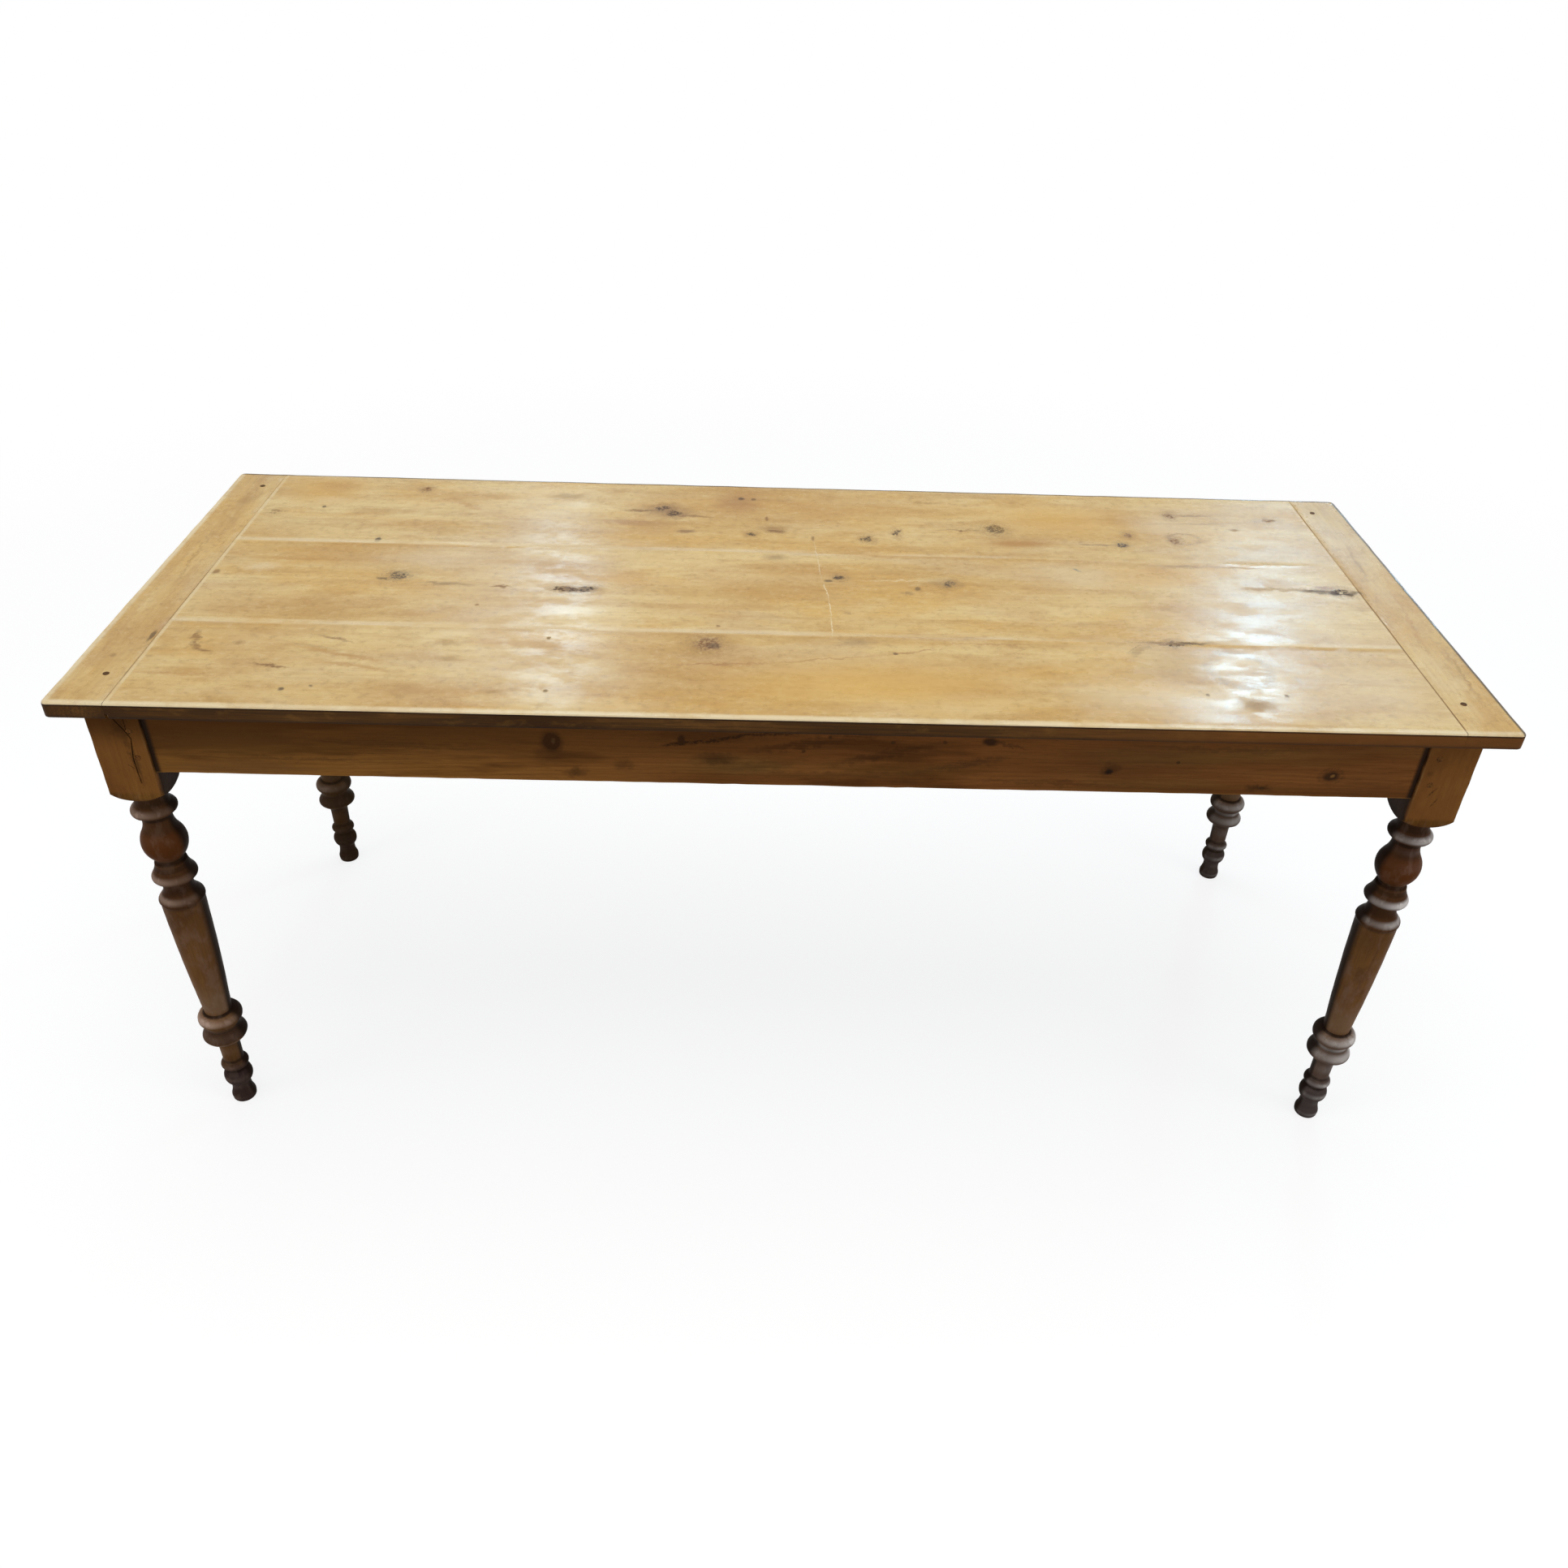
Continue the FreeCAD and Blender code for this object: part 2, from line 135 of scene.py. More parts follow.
# The turned leg from its shoulder to the floor. Radii are shares of half the leg's size.
# Heights are shares of the upper turning or the lower turning, from its top.
block_bottom = underside - 126 * mm
turning_top = block_bottom - 19 * mm
taper_top = turning_top - 189 * mm
lower_turning = 190 * mm
# Heights of the middle of its forms
turned_rings = 500 * mm
bulb = 508 * mm
taper_middle = 297 * mm
lower_ring = 151 * mm
upper_shares = [
    ("arc", (0.62, 0.06), (0.7, 0.115)),
    ("line", (0.845, 0.14)),
    ("arc", (0.885, 0.16), (0.845, 0.18)),
    ("line", (0.64, 0.195)),
    ("arc", (0.565, 0.225), (0.58, 0.26)),
    ("arc", (0.65, 0.318), (0.765, 0.36)),
    ("arc", (0.89, 0.46), (0.6, 0.585)),
    ("line", (0.54, 0.6)),
    ("line", (0.54, 0.618)),
    ("line", (0.63, 0.63)),
    ("arc", (0.7, 0.68), (0.86, 0.735)),
    ("arc", (0.895, 0.755), (0.855, 0.775)),
    ("line", (0.65, 0.8)),
    ("arc", (0.6, 0.85), (0.67, 0.905)),
    ("line", (0.88, 0.955)),
    ("arc", (0.91, 0.975), (0.88, 0.99)),
    ("line", (0.865, 1.0)),
]
lower_shares = [
    ("line", (0.7, 0.015)),
    ("arc", (0.94, 0.07), (0.78, 0.125)),
    ("arc", (0.73, 0.16), (0.81, 0.2)),
    ("line", (0.915, 0.23)),
    ("arc", (0.95, 0.255), (0.9, 0.28)),
    ("arc", (0.6, 0.32), (0.46, 0.39)),
    ("line", (0.445, 0.56)),
    ("line", (0.53, 0.575)),
    ("arc", (0.605, 0.605), (0.515, 0.635)),
    ("line", (0.455, 0.645)),
    ("line", (0.46, 0.665)),
    ("arc", (0.63, 0.738), (0.45, 0.815)),
    ("arc", (0.43, 0.86), (0.515, 0.935)),
    ("arc", (0.54, 0.97), (0.485, 1.0)),
]

# Marks of age on the top, with one painted sheen patch and one painted shade patch among them, in millimetres from
# its middle:
# kind, x, y, half length, half width, turn in degrees, tone, strength
TOP_MARKS = [
    # back plank
    ("knot", -593, 312, 7, 8, 0, "brown", 0.8),
    ("spot", -738, 234, 3, 4, 0, "dark", 0.8),
    ("knot", -806, 210, 8, 10, 0, "brown", 0.5),
    ("smudge", -363, 298, 32, 12, 0, "grey", 0.5),
    ("smudge", -765, 20, 26, 12, 8, "pale", 0.45),
    ("smudge", -735, 262, 26, 12, 0, "pale", 0.35),
    ("smudge", -343, 264, 22, 13, 10, "pale", 0.5),
    ("smudge", -481, 290, 26, 12, 0, "orange", 0.45),
    ("knot", -206, 261, 13, 10, 20, "dark", 0.9),
    ("knot", -188, 242, 11, 10, -30, "dark", 0.9),
    ("streak", -243, 250, 30, 5, 4, "purple", 0.7),
    ("streak", -153, 232, 30, 5, -6, "brown", 0.7),
    ("smudge", -198, 249, 45, 26, 0, "purple", 0.3),
    ("smudge", -85, 289, 36, 40, 0, "red", 0.55),
    ("spot", -83, 306, 5, 6, 0, "dark", 0.75),
    ("spot", -63, 304, 4, 5, 0, "dark", 0.6),
    ("spot", -40, 230, 2.5, 9, 0, "brown", 0.7),
    ("streak", -26, 184, 18, 6, 0, "brown", 0.85),
    ("smudge", -30, 194, 24, 12, 0, "brown", 0.5),
    ("knot", -65, 172, 6, 7, 0, "dark", 0.85),
    ("streak", -166, 176, 17, 8, 0, "purple", 0.65),
    ("streak", -248, 203, 62, 13, -4, "red", 0.5),
    ("smudge", -233, 174, 60, 16, 0, "red", 0.2),
    ("spot", 32, 161, 2.5, 8, 0, "brown", 0.7),
    ("knot", 115, 162, 8, 9, 20, "dark", 0.85),
    ("knot", 163, 189, 5, 11, 0, "dark", 0.85),
    ("spot", 265, 201, 3, 4, 0, "brown", 0.7),
    ("knot", 321, 212, 15, 14, -20, "dark", 1.0),
    ("streak", 265, 205, 44, 3, 0, "brown", 0.45),
    ("smudge", 350, 162, 60, 16, 2, "orange", 0.7),
    ("spot", 350, 161, 36, 8, 3, "orange", 0.7),
    ("smudge", 420, 250, 110, 60, 0, "gold", 0.7),
    ("smudge", -750, 300, 60, 50, 0, "gold", 0.7),
    ("smudge", 600, 245, 60, 45, 0, "pale", 0.4),
    ("streak", 216, 308, 26, 6, 0, "brown", 0.4),
    ("knot", 513, 164, 7, 7, 0, "dark", 0.85),
    ("streak", 476, 163, 34, 3.5, 0, "brown", 0.6),
    ("knot", 530, 203, 7, 8, 0, "brown", 0.75),
    ("knot", 600, 186, 7, 12, 0, "brown", 0.8),
    ("ring", 617, 193, 24, 20, 0, "brown", 0.35),
    ("knot", 613, 281, 7, 10, 0, "brown", 0.85),
    ("streak", 650, 284, 32, 4, 0, "brown", 0.55),
    ("knot", 775, 272, 12, 6, 0, "brown", 0.75),
    ("streak", 708, 232, 10, 5, 0, "brown", 0.6),
    ("streak", 645, 252, 90, 3, 3, "brown", 0.3),
    ("smudge", -738, 315, 34, 22, 0, "orange", 0.45),
    ("streak", -515, 252, 52, 5, -38, "orange", 0.4),
    ("streak", -425, 206, 66, 5, -8, "orange", 0.4),
    ("smudge", 110, 285, 140, 40, 0, "orange", 0.35),
    # middle plank
    ("spot", -624, 118, 4, 8, 0, "dark", 0.9),
    ("knot", -564, 1, 14, 13, 0, "dark", 0.75),
    ("streak", -584, -9, 9, 4, -20, "dark", 0.7),
    ("streak", -491, -21, 40, 6, -3, "grey", 0.7),
    ("streak", -414, -25, 18, 3, 0, "brown", 0.75),
    ("smudge", -306, -28, 34, 8, 0, "brown", 0.5),
    ("knot", -330, -28, 9, 6, 0, "dark", 0.8),
    ("knot", -311, -29, 9, 7, 0, "dark", 0.85),
    ("knot", -291, -27, 11, 8, 20, "dark", 0.85),
    ("spot", -823, 0, 5, 7, 0, "brown", 0.7),
    ("spot", -437, -82, 3, 3, 0, "brown", 0.7),
    ("smudge", -26, 91, 17, 9, 0, "grey", 0.6),
    ("knot", 69, 29, 7, 7, 0, "dark", 0.85),
    ("spot", 52, 17, 6, 4, 0, "dark", 0.7),
    ("streak", 154, 24, 62, 1.6, 3, "pale", 0.55),
    ("knot", 229, 16, 9, 9, 0, "dark", 0.8),
    ("smudge", 216, 19, 26, 16, 0, "grey", 0.3),
    ("streak", 167, -16, 10, 6, 0, "grey", 0.7),
    ("spot", 181, -1, 4, 6, 0, "dark", 0.6),
    ("smudge", 78, -79, 6, 4, 0, "grey", 0.5),
    ("spot", -102, -127, 3, 3, 0, "brown", 0.7),
    ("scratch", 426, 72, 11, 3, -52, "dark", 0.9),
    ("streak", 588, 95, 44, 4, 0, "brown", 0.5),
    ("streak", 671, 94, 50, 3, -2, "brown", 0.35),
    ("streak", 722, 24, 75, 5, -1, "brown", 0.45),
    ("streak", 774, 20, 26, 7, 0, "dark", 0.7),
    ("streak", 783, 33, 14, 5, 0, "red", 0.7),
    ("smudge", 797, -2, 22, 9, 0, "pale", 0.6),
    ("smudge", 425, 55, 80, 45, 0, "pale", 0.4),
    ("smudge", -520, 60, 70, 40, 0, "pale", 0.3),
    ("streak", 0, 40, 240, 7, 1, "orange", 0.25),
    ("knot", 806, 20, 11, 10, 0, "dark", 1.0),
    ("spot", 795, 16, 7, 7, 0, "dark", 0.8),
    ("spot", 817, 13, 6, 5, 0, "dark", 0.8),
    ("spot", 806, 19, 3, 3, 0, "pale", 0.7),
    ("streak", 826, 18, 9, 7, 0, "dark", 0.8),
    ("streak", -699, 48, 120, 5, 0, "orange", 0.3),
    ("streak", -119, -73, 160, 8, 1, "orange", 0.25),
    # front plank
    ("streak", -781, -189, 18, 6, -75, "brown", 0.7),
    ("streak", -775, -213, 15, 6, -62, "brown", 0.7),
    ("streak", -761, -224, 16, 5, -8, "brown", 0.7),
    ("smudge", -724, -202, 7, 7, 0, "brown", 0.5),
    ("streak", -666, -258, 27, 3.5, -10, "brown", 0.8),
    ("spot", -633, -316, 3.5, 4, 0, "dark", 0.75),
    ("spot", -599, -306, 3, 3, 0, "dark", 0.6),
    ("spot", -309, -306, 3, 3, 0, "dark", 0.6),
    ("spot", -324, -171, 3, 3, 0, "dark", 0.6),
    ("smudge", -374, -312, 14, 6, 0, "brown", 0.35),
    ("smudge", -454, -191, 16, 8, 0, "brown", 0.35),
    ("smudge", -444, -231, 14, 6, 0, "brown", 0.35),
    ("knot", -112, -177, 16, 17, 0, "brown", 0.85),
    ("spot", -105, -182, 9, 7, 0, "dark", 0.5),
    ("smudge", 88, -162, 22, 11, 0, "grey", 0.55),
    ("spot", 137, -192, 3.5, 3.5, 0, "dark", 0.85),
    ("streak", -94, -229, 78, 2.2, 5, "red", 0.6),
    ("streak", 48, -210, 74, 2.2, 10, "red", 0.55),
    ("streak", 161, -185, 46, 2.2, 15, "red", 0.5),
    ("streak", 263, -161, 66, 2.4, 2, "red", 0.5),
    ("knot", 517, -148, 9, 6, 0, "dark", 0.9),
    ("streak", 523, -145, 50, 5, 2, "brown", 0.8),
    ("streak", 540, -146, 26, 4, 0, "dark", 0.75),
    ("streak", 468, -168, 26, 7, 48, "brown", 0.4),
    ("smudge", 505, -205, 45, 45, 0, "grey", 0.22),
    ("smudge", 110, -270, 180, 60, 0, "gold", 0.7),
    ("smudge", 430, -290, 80, 45, 0, "pale", 0.4),
    # painted sheen: a pale patch standing in for the soft veil of the glare
    ("smudge", 765, -260, 70, 70, 0, "pale", 0.35),
    ("streak", -602, -186, 32, 4, -18, "brown", 0.6),
    ("streak", -585, -226, 78, 6, -17, "orange", 0.6),
    ("streak", -560, -255, 66, 5, -14, "orange", 0.45),
    ("streak", -630, -205, 50, 4, -15, "brown", 0.25),
    ("scratch", 461, -163, 18, 1.6, 45, "brown", 0.5),
    ("ring", 594, -236, 44, 44, 0, "pale", 0.3),
    ("ring", 590, -214, 40, 46, 0, "grey", 0.28),
    ("smudge", 589, -303, 22, 14, 0, "purple", 0.55),
    ("spot", 531, -280, 3, 3, 0, "dark", 0.6),
    ("spot", 633, -278, 3, 3, 0, "dark", 0.6),
    ("streak", 700, -248, 110, 3, 2, "orange", 0.3),
    ("streak", -759, -284, 60, 4, -2, "orange", 0.4),
    # scratches across the planks
    ("scratch", 38, 85, 78, 0.9, -86, "pale", 0.6),
    ("scratch", 48, -12, 32, 0.9, -82, "pale", 0.75),
    ("scratch", 53, -65, 29, 0.9, -86, "pale", 0.9),
    ("scratch", 54, -121, 34, 1.0, 90, "pale", 0.9),
    # breadboard ends
    ("spot", -840, -190, 3, 15, 0, "dark", 0.7),
    ("streak", 876, -54, 3, 120, -6, "orange", 0.5),
    ("streak", 866, 124, 3, 90, -5, "brown", 0.35),
    ("streak", 888, -215, 3, 80, -4, "brown", 0.35),
    ("streak", -872, 56, 3, 110, 3, "brown", 0.3),
    ("streak", -886, -172, 4, 90, 2, "orange", 0.35),
    ("spot", -868, -242, 4, 5, 0, "brown", 0.5),
    ("smudge", -865, 248, 12, 20, 0, "brown", 0.3),
    # painted shade: a faint brown patch that dims the lamp's highlight at the back of the right breadboard
    ("smudge", 872, 285, 26, 70, 0, "brown", 0.16),
]

# Marks on the aprons and leg heads, in millimetres along and up
FRONT_APRON_MARKS = [
    ("spot", -303, 699, 13, 15, 0, "black", 0.97),
    ("ring", -303, 699, 9, 11, 0, "black", 0.9),
    ("spot", -301, 700, 2.5, 4.5, 0, "grey", 0.4),
    ("smudge", -306, 682, 18, 14, 0, "black", 0.35),
    ("scratch", -135, 701, 34, 3.5, 8, "black", 0.95),
    ("scratch", -84, 709, 34, 3.5, 13, "black", 0.95),
    ("scratch", -25, 717, 50, 3, 2, "black", 0.7),
    ("spot", -139, 706, 5, 7, 0, "black", 0.95),
    ("smudge", -100, 714, 80, 10, 4, "black", 0.5),
    ("smudge", -94, 677, 26, 10, 0, "black", 0.6),
    ("smudge", -212, 666, 14, 8, 0, "black", 0.4),
    ("smudge", -275, 653, 14, 6, 0, "black", 0.5),
    ("streak", 30, 706, 90, 7, 10, "black", 0.5),
    ("streak", 120, 690, 90, 7, 14, "black", 0.45),
    ("streak", -40, 668, 60, 8, 8, "dark", 0.4),
    ("streak", 215, 676, 70, 6, 12, "dark", 0.5),
    ("smudge", 450, 690, 120, 40, 0, "dark", 0.3),
    ("smudge", -700, 686, 95, 24, 0, "orange", 0.18),
    ("streak", -700, 649, 90, 12, 0, "brown", 0.85),
    ("smudge", 70, 666, 170, 14, 0, "orange", 0.14),
    ("smudge", -400, 703, 110, 9, 0, "dark", 0.2),
    ("smudge", 738, 656, 60, 20, 0, "dark", 0.2),
    ("streak", -500, 690, 130, 5, -2, "dark", 0.3),
    ("spot", 16, 693, 2.5, 2.5, 0, "dark", 0.8),
    ("spot", 48, 714, 2.5, 2.5, 0, "dark", 0.8),
    ("spot", 129, 708, 3, 2.5, 0, "dark", 0.8),
    ("spot", 194, 710, 3, 3, 0, "dark", 0.7),
    ("spot", 251, 713, 9, 6, 0, "black", 0.9),
    ("streak", 275, 709, 24, 3, -12, "black", 0.6),
    ("spot", 409, 671, 5, 4, 0, "black", 0.9),
    ("smudge", 411, 674, 13, 9, 0, "black", 0.5),
    ("spot", 495, 687, 2.5, 2.5, 0, "dark", 0.8),
    ("smudge", 608, 650, 16, 6, 0, "black", 0.7),
    ("spot", 612, 651, 4, 3, 0, "dark", 0.8),
    ("spot", 697, 671, 11, 8, 0, "black", 0.8),
    ("spot", 698, 671, 3, 2.5, 0, "amber", 0.8),
    ("ring", 697, 671, 16, 12, 0, "dark", 0.3),
    ("streak", 329, 652, 120, 4, -1, "dark", 0.3),
    ("streak", -623, 663, 110, 4, 1, "dark", 0.25),
    ("streak", 59, 658, 140, 5, 1, "dark", 0.25),
    ("streak", 560, 709, 120, 4, 0, "dark", 0.3),
]
BACK_APRON_MARKS = [
    ("knot", 410, 690, 12, 11, 0, "dark", 0.7),
    ("ring", 410, 690, 19, 17, 0, "brown", 0.4),
    ("spot", -520, 705, 5, 4, 0, "dark", 0.8),
    ("streak", -100, 672, 120, 4, 1, "dark", 0.4),
]
SIDE_APRON_MARKS = [
    ("knot", 90, 680, 10, 9, 0, "dark", 0.7),
    ("streak", -60, 700, 90, 4, 2, "dark", 0.4),
    ("spot", -150, 668, 4, 3, 0, "dark", 0.8),
]
LEG_MARKS = {
    "front_left": [
        ("smudge", 8, 712, 11, 18, 0, "dark", 0.8),
        ("streak", 14, 660, 5, 40, 4, "dark", 0.5),
        ("spot", -12, 702, 4, 6, 0, "brown", 0.5)],
    "front_right": [
        ("spot", -24, 682, 4, 4, 0, "dark", 0.3),
        ("scratch", -12, 652, 1.2, 12, -30, "dark", 0.6),
        ("scratch", -5, 636, 1.2, 9, -20, "dark", 0.5)],
    "back_left": [("spot", 8, 690, 4, 7, 0, "brown", 0.5)],
    "back_right": [("spot", -6, 660, 4, 6, 0, "brown", 0.5)],
}
# The drying cracks in the head of the front left leg: places across and up its front face, in millimetres
HEAD_CRACKS = [
    ([(1.6, 724), (7.7, 713), (12.9, 704), (17.6, 693), (15, 678), (12.5, 663), (12.6, 640), (13.2, 624)], 1.5),
    ([(15.4, 731), (14.4, 704)], 0.8),
    ([(3.7, 653), (10, 647.5)], 0.8),
]

# Bands of wear and painted highlight round a turned leg: height and half height in millimetres, and strength on the
# left and right legs
RING_WEAR_AND_HIGHLIGHTS = [(566, 6.5, 0.75, 1.0), (453, 7.5, 0.8, 1.5), (416, 6, 0.75, 0.8), (181, 8, 1.3, 1.0),
             (162, 6, 0.2, 0.85), (148, 9, 0.12, 1.0), (138, 3.5, 0.7, 0.1), (110, 14, 0.2, 0.2), (77, 5, 0.2, 0.75),
             (541, 8, 0.02, 0.08), (520, 12, 0.04, 0.05), (51, 6, 0.12, 0.45), (30, 9, 0.13, 0.07),
             (8, 4, 0.1, 0.3)]
# Bands of grime in its grooves: height and half height in millimetres, and strength
GROOVE_GRIME = [(592, 5, 0.8), (580, 9, 0.5), (552, 6, 0.75), (478, 5, 0.65), (432, 11, 0.35), (468, 5, 0.4),
                (189, 2.5, 0.9), (160.5, 4, 0.5), (127, 5, 0.35), (86, 4, 0.6), (66, 4, 0.8)]

# Where each kind of mark starts and is full, in shares of its size from its middle or, for a ring, from its line
MARK_FADES = {
    "knot": (1.25, 0.7),
    "ring": (0.24, 0.04),
    "scratch": (1.1, 0.5),
    "spot": (1.45, 0.5),
    "streak": (1.3, 0.3),
    "smudge": (1.6, 0.1),
}

# Tones of the marks, of the worn places and of painted sheen, as linear colours
TONES = {
    "amber": (0.30, 0.150, 0.040),
    "dark": (0.046, 0.024, 0.010),
    "brown": (0.22, 0.098, 0.026),
    "red": (0.36, 0.15, 0.045),
    "orange": (0.48, 0.235, 0.055),
    "purple": (0.20, 0.092, 0.034),
    "grey": (0.29, 0.175, 0.070),
    "pale": (0.86, 0.72, 0.46),
    "gold": (0.69, 0.395, 0.080),
    "ash": (0.68, 0.50, 0.27),
    "black": (0.012, 0.007, 0.005),
    "edge_right": (0.220, 0.082, 0.018),
    "apron_warm": (0.285, 0.102, 0.028),
    "leg_head": (0.33, 0.130, 0.036),
    "leg_arris": (0.30, 0.16, 0.06),
    "leg_rings": (0.058, 0.024, 0.014),
    "leg_bulb": (0.122, 0.038, 0.009),
    "taper": (0.22, 0.115, 0.066),
    "taper_pale": (0.29, 0.180, 0.105),
    "leg_low_left": (0.110, 0.062, 0.040),
    "leg_low_right": (0.150, 0.120, 0.110),
    "lower_ring": (0.040, 0.026, 0.024),
    "foot_left": (0.030, 0.021, 0.024),
    "foot_right": (0.075, 0.060, 0.058),
    # Near white: the right leg's ring bands, partly wear and partly painted sheen
    "scuffed": (0.78, 0.73, 0.70),
    "rust": (0.16, 0.06, 0.025),
}

# Each lamp: its place, the point it is aimed at, width and height, power, colour, and roll in degrees
LAMPS = {
    "overhead": ((0.0, 0.05, 3.4), (0.0, 0.0, 0.0), (3.2, 3.2), 60.0, (1, 1, 1)),
    "front": ((0.0, -3.6, 1.9), (0.0, 0.0, 0.5), (3.4, 1.8), 20.0, (1, 1, 1)),
    "left": ((-3.2, -1.5, 1.3), (-0.84, -0.3, 0.45), (1.4, 1.4), 13.0, (1, 1, 1)),
    "right": ((3.2, -1.5, 1.3), (0.84, -0.3, 0.45), (1.4, 1.4), 15.0, (1, 1, 1)),
    "rear_left": ((-0.69, 1.9, 1.87), (-0.31, -0.1, 0.76), (0.17, 0.48), 2.45, (0.56, 0.82, 1.0), -8),
    "rear_right": ((1.49, 1.9, 2.02), (0.59, -0.24, 0.76), (0.21, 0.22), 4.7, (0.45, 0.75, 1.0), 12),
    "rear_right_low": ((1.44, 1.9, 1.70), (0.66, 0.02, 0.76), (0.22, 0.40), 0.65, (0.42, 0.74, 1.0), 14),
    "rear_left_low": ((-0.93, 1.9, 1.98), (-0.40, -0.22, 0.76), (0.36, 0.34), 0.8, (0.62, 0.84, 1.0), -10),
    "right_window": ((2.0, 2.6, 2.15), (0.75, 0.0, 0.76), (0.9, 1.17), 3.5, (0.46, 0.73, 1.0), 42),
}


def length(name, description, default):
    """A length that a user may change."""
    return bpy.props.FloatProperty(name=name, description=description, default=default * mm, unit="LENGTH")


def colour(name, description, *default):
    """A linear colour that a user may change."""
    return bpy.props.FloatVectorProperty(
        name=name, description=description, subtype="COLOR", size=4, default=(*default, 1))


class TableSizes(bpy.types.PropertyGroup):
    """Sizes of the wear that a user may change."""

    station: length("Station", "Length of the short pieces a board's surface is divided into", 9)
    outer_arris: length("Outer arris", "Radius of the worn upper edge of the top", 4)
    under_arris: length("Under arris", "Radius of the lower edge of the top", 2)
    joint_arris: length("Joint arris", "Width of the worn edges along the joints of the top", 0.35)
    corner_radius: length("Corner radius", "Radius of the corners of the top seen from above", 9)
    edge_wear: length("Edge wear", "Greatest depth of the wear along the edges", 0.8)
    face_wave: length("Face wave", "Greatest depth of the hollows in the faces of the boards", 0.7)
    lathe_steps: bpy.props.IntProperty(
        name="Lathe steps", description="Faces round a turned leg", default=72, min=24)
    leg_arris: length("Leg arris", "Width of the worn edges of the leg heads", 2)


class TableColours(bpy.types.PropertyGroup):
    """Colours of the woods, of their wear and of painted shade and sheen, as linear values."""

    honey: colour("Honey", "Main colour of the waxed top", 0.655, 0.420, 0.140)
    honey_pale: colour("Pale honey", "Colour of the worn places of the top", 0.78, 0.575, 0.250)
    honey_deep: colour("Deep honey", "Colour of the dark grain of the top", 0.47, 0.250, 0.064)
    # The edge faces are set much darker than the top's face
    edge_brown: colour("Edge brown", "Colour of the grimy edge faces of the top", 0.056, 0.022, 0.006)
    leg_brown: colour("Leg brown", "Main colour of the legs", 0.24, 0.106, 0.022)
    leg_deep: colour("Deep leg brown", "Colour of the dark grain of the legs", 0.075, 0.028, 0.007)
    apron_brown: colour("Apron brown", "Main colour of the aprons", 0.35, 0.152, 0.034)
    apron_deep: colour("Deep apron brown", "Colour of the dark grain of the aprons", 0.080, 0.028, 0.006)
    bare: colour("Bare wood", "Colour of the unwaxed wood inside and underneath", 0.36, 0.22, 0.11)
    bare_deep: colour("Deep bare wood", "Colour of the dark grain of the unwaxed wood", 0.19, 0.10, 0.045)
    # Laid on the left legs' ring bands as wear and painted highlight, and thinly over the turned part as wear
    ring_pale: colour("Pale ring", "Colour of the scuffed edges of the turned rings", 0.57, 0.40, 0.31)
    rubbed: colour("Rubbed", "Colour of the top where the wax is rubbed off", 0.80, 0.62, 0.34)
    # This colour is laid both as dirt and as painted shade under the top, at the apron ends by the legs and on the
    # legs' inner sides
    grime: colour("Grime", "Colour of the dirt in joints, cracks and grooves", 0.020, 0.011, 0.007)
    peg_wood: colour("Peg wood", "Colour of the end grain of the pegs", 0.15, 0.070, 0.022)
    leg_peg: colour("Leg peg wood", "Colour of the end grain of the pegs in the leg heads", 0.26, 0.105, 0.028)
    steel: colour("Screw steel", "Colour of the old screws", 0.42, 0.41, 0.39)


# Modelling


def clear_selection():
    """Return to object mode with nothing selected."""
    if bpy.context.mode != "OBJECT":
        bpy.ops.object.mode_set(mode="OBJECT")
    bpy.ops.object.select_all(action="DESELECT")


def only(piece):
    """Leave one piece selected and active."""
    clear_selection()
    piece.select_set(True)
    bpy.context.view_layer.objects.active = piece


def edit(piece):
    """Open one piece in edit mode."""
    only(piece)
    bpy.ops.object.mode_set(mode="EDIT")
    bpy.ops.mesh.select_mode(type="VERT")


def close():
    """Leave edit mode."""
    bpy.ops.object.mode_set(mode="OBJECT")


def everything():
    """Select the whole of the open piece."""
    bpy.ops.mesh.select_all(action="SELECT")


def add(operator, **settings):
    """Add a simple shape by a mesh operator, with its place in its mesh."""
    clear_selection()
    operator(**settings)
    bpy.ops.object.transform_apply(location=True, rotation=True, scale=True)
    return bpy.context.active_object


def block(name, low, high):
    """Add a cube between two corners."""
    spans = [sorted(ends) for ends in zip(low, high)]
    piece = add(bpy.ops.mesh.primitive_cube_add, size=1,
                location=[(a + b) / 2 for a, b in spans], scale=[b - a for a, b in spans])
    piece.name = piece.data.name = name
    return piece


def trace(start, points):
    """Draw a line of edges from a place through points, each across and up, and leave it open."""
    line = add(bpy.ops.mesh.primitive_plane_add, size=0.2 * mm, location=start)
    edit(line)
    everything()
    bpy.ops.mesh.merge(type="CENTER")
    here = (start[0], start[2])
    for point in points:
        bpy.ops.mesh.extrude_vertices_move(
            TRANSFORM_OT_translate={"value": (point[0] - here[0], 0, point[1] - here[1])})
        here = point
    everything()
    return line


def middle(part):
    """The middle of a face or an edge."""
    return sum((point.co for point in part.verts), Vector()) / len(part.verts)


def near(first, second, reach=0.05 * mm):
    """True for two places that are the same within a hair."""
    return abs(first - second) < reach


def within(value, ends, reach=0.1 * mm):
    """True for a place between two others."""
    return ends[0] - reach < value < ends[1] + reach


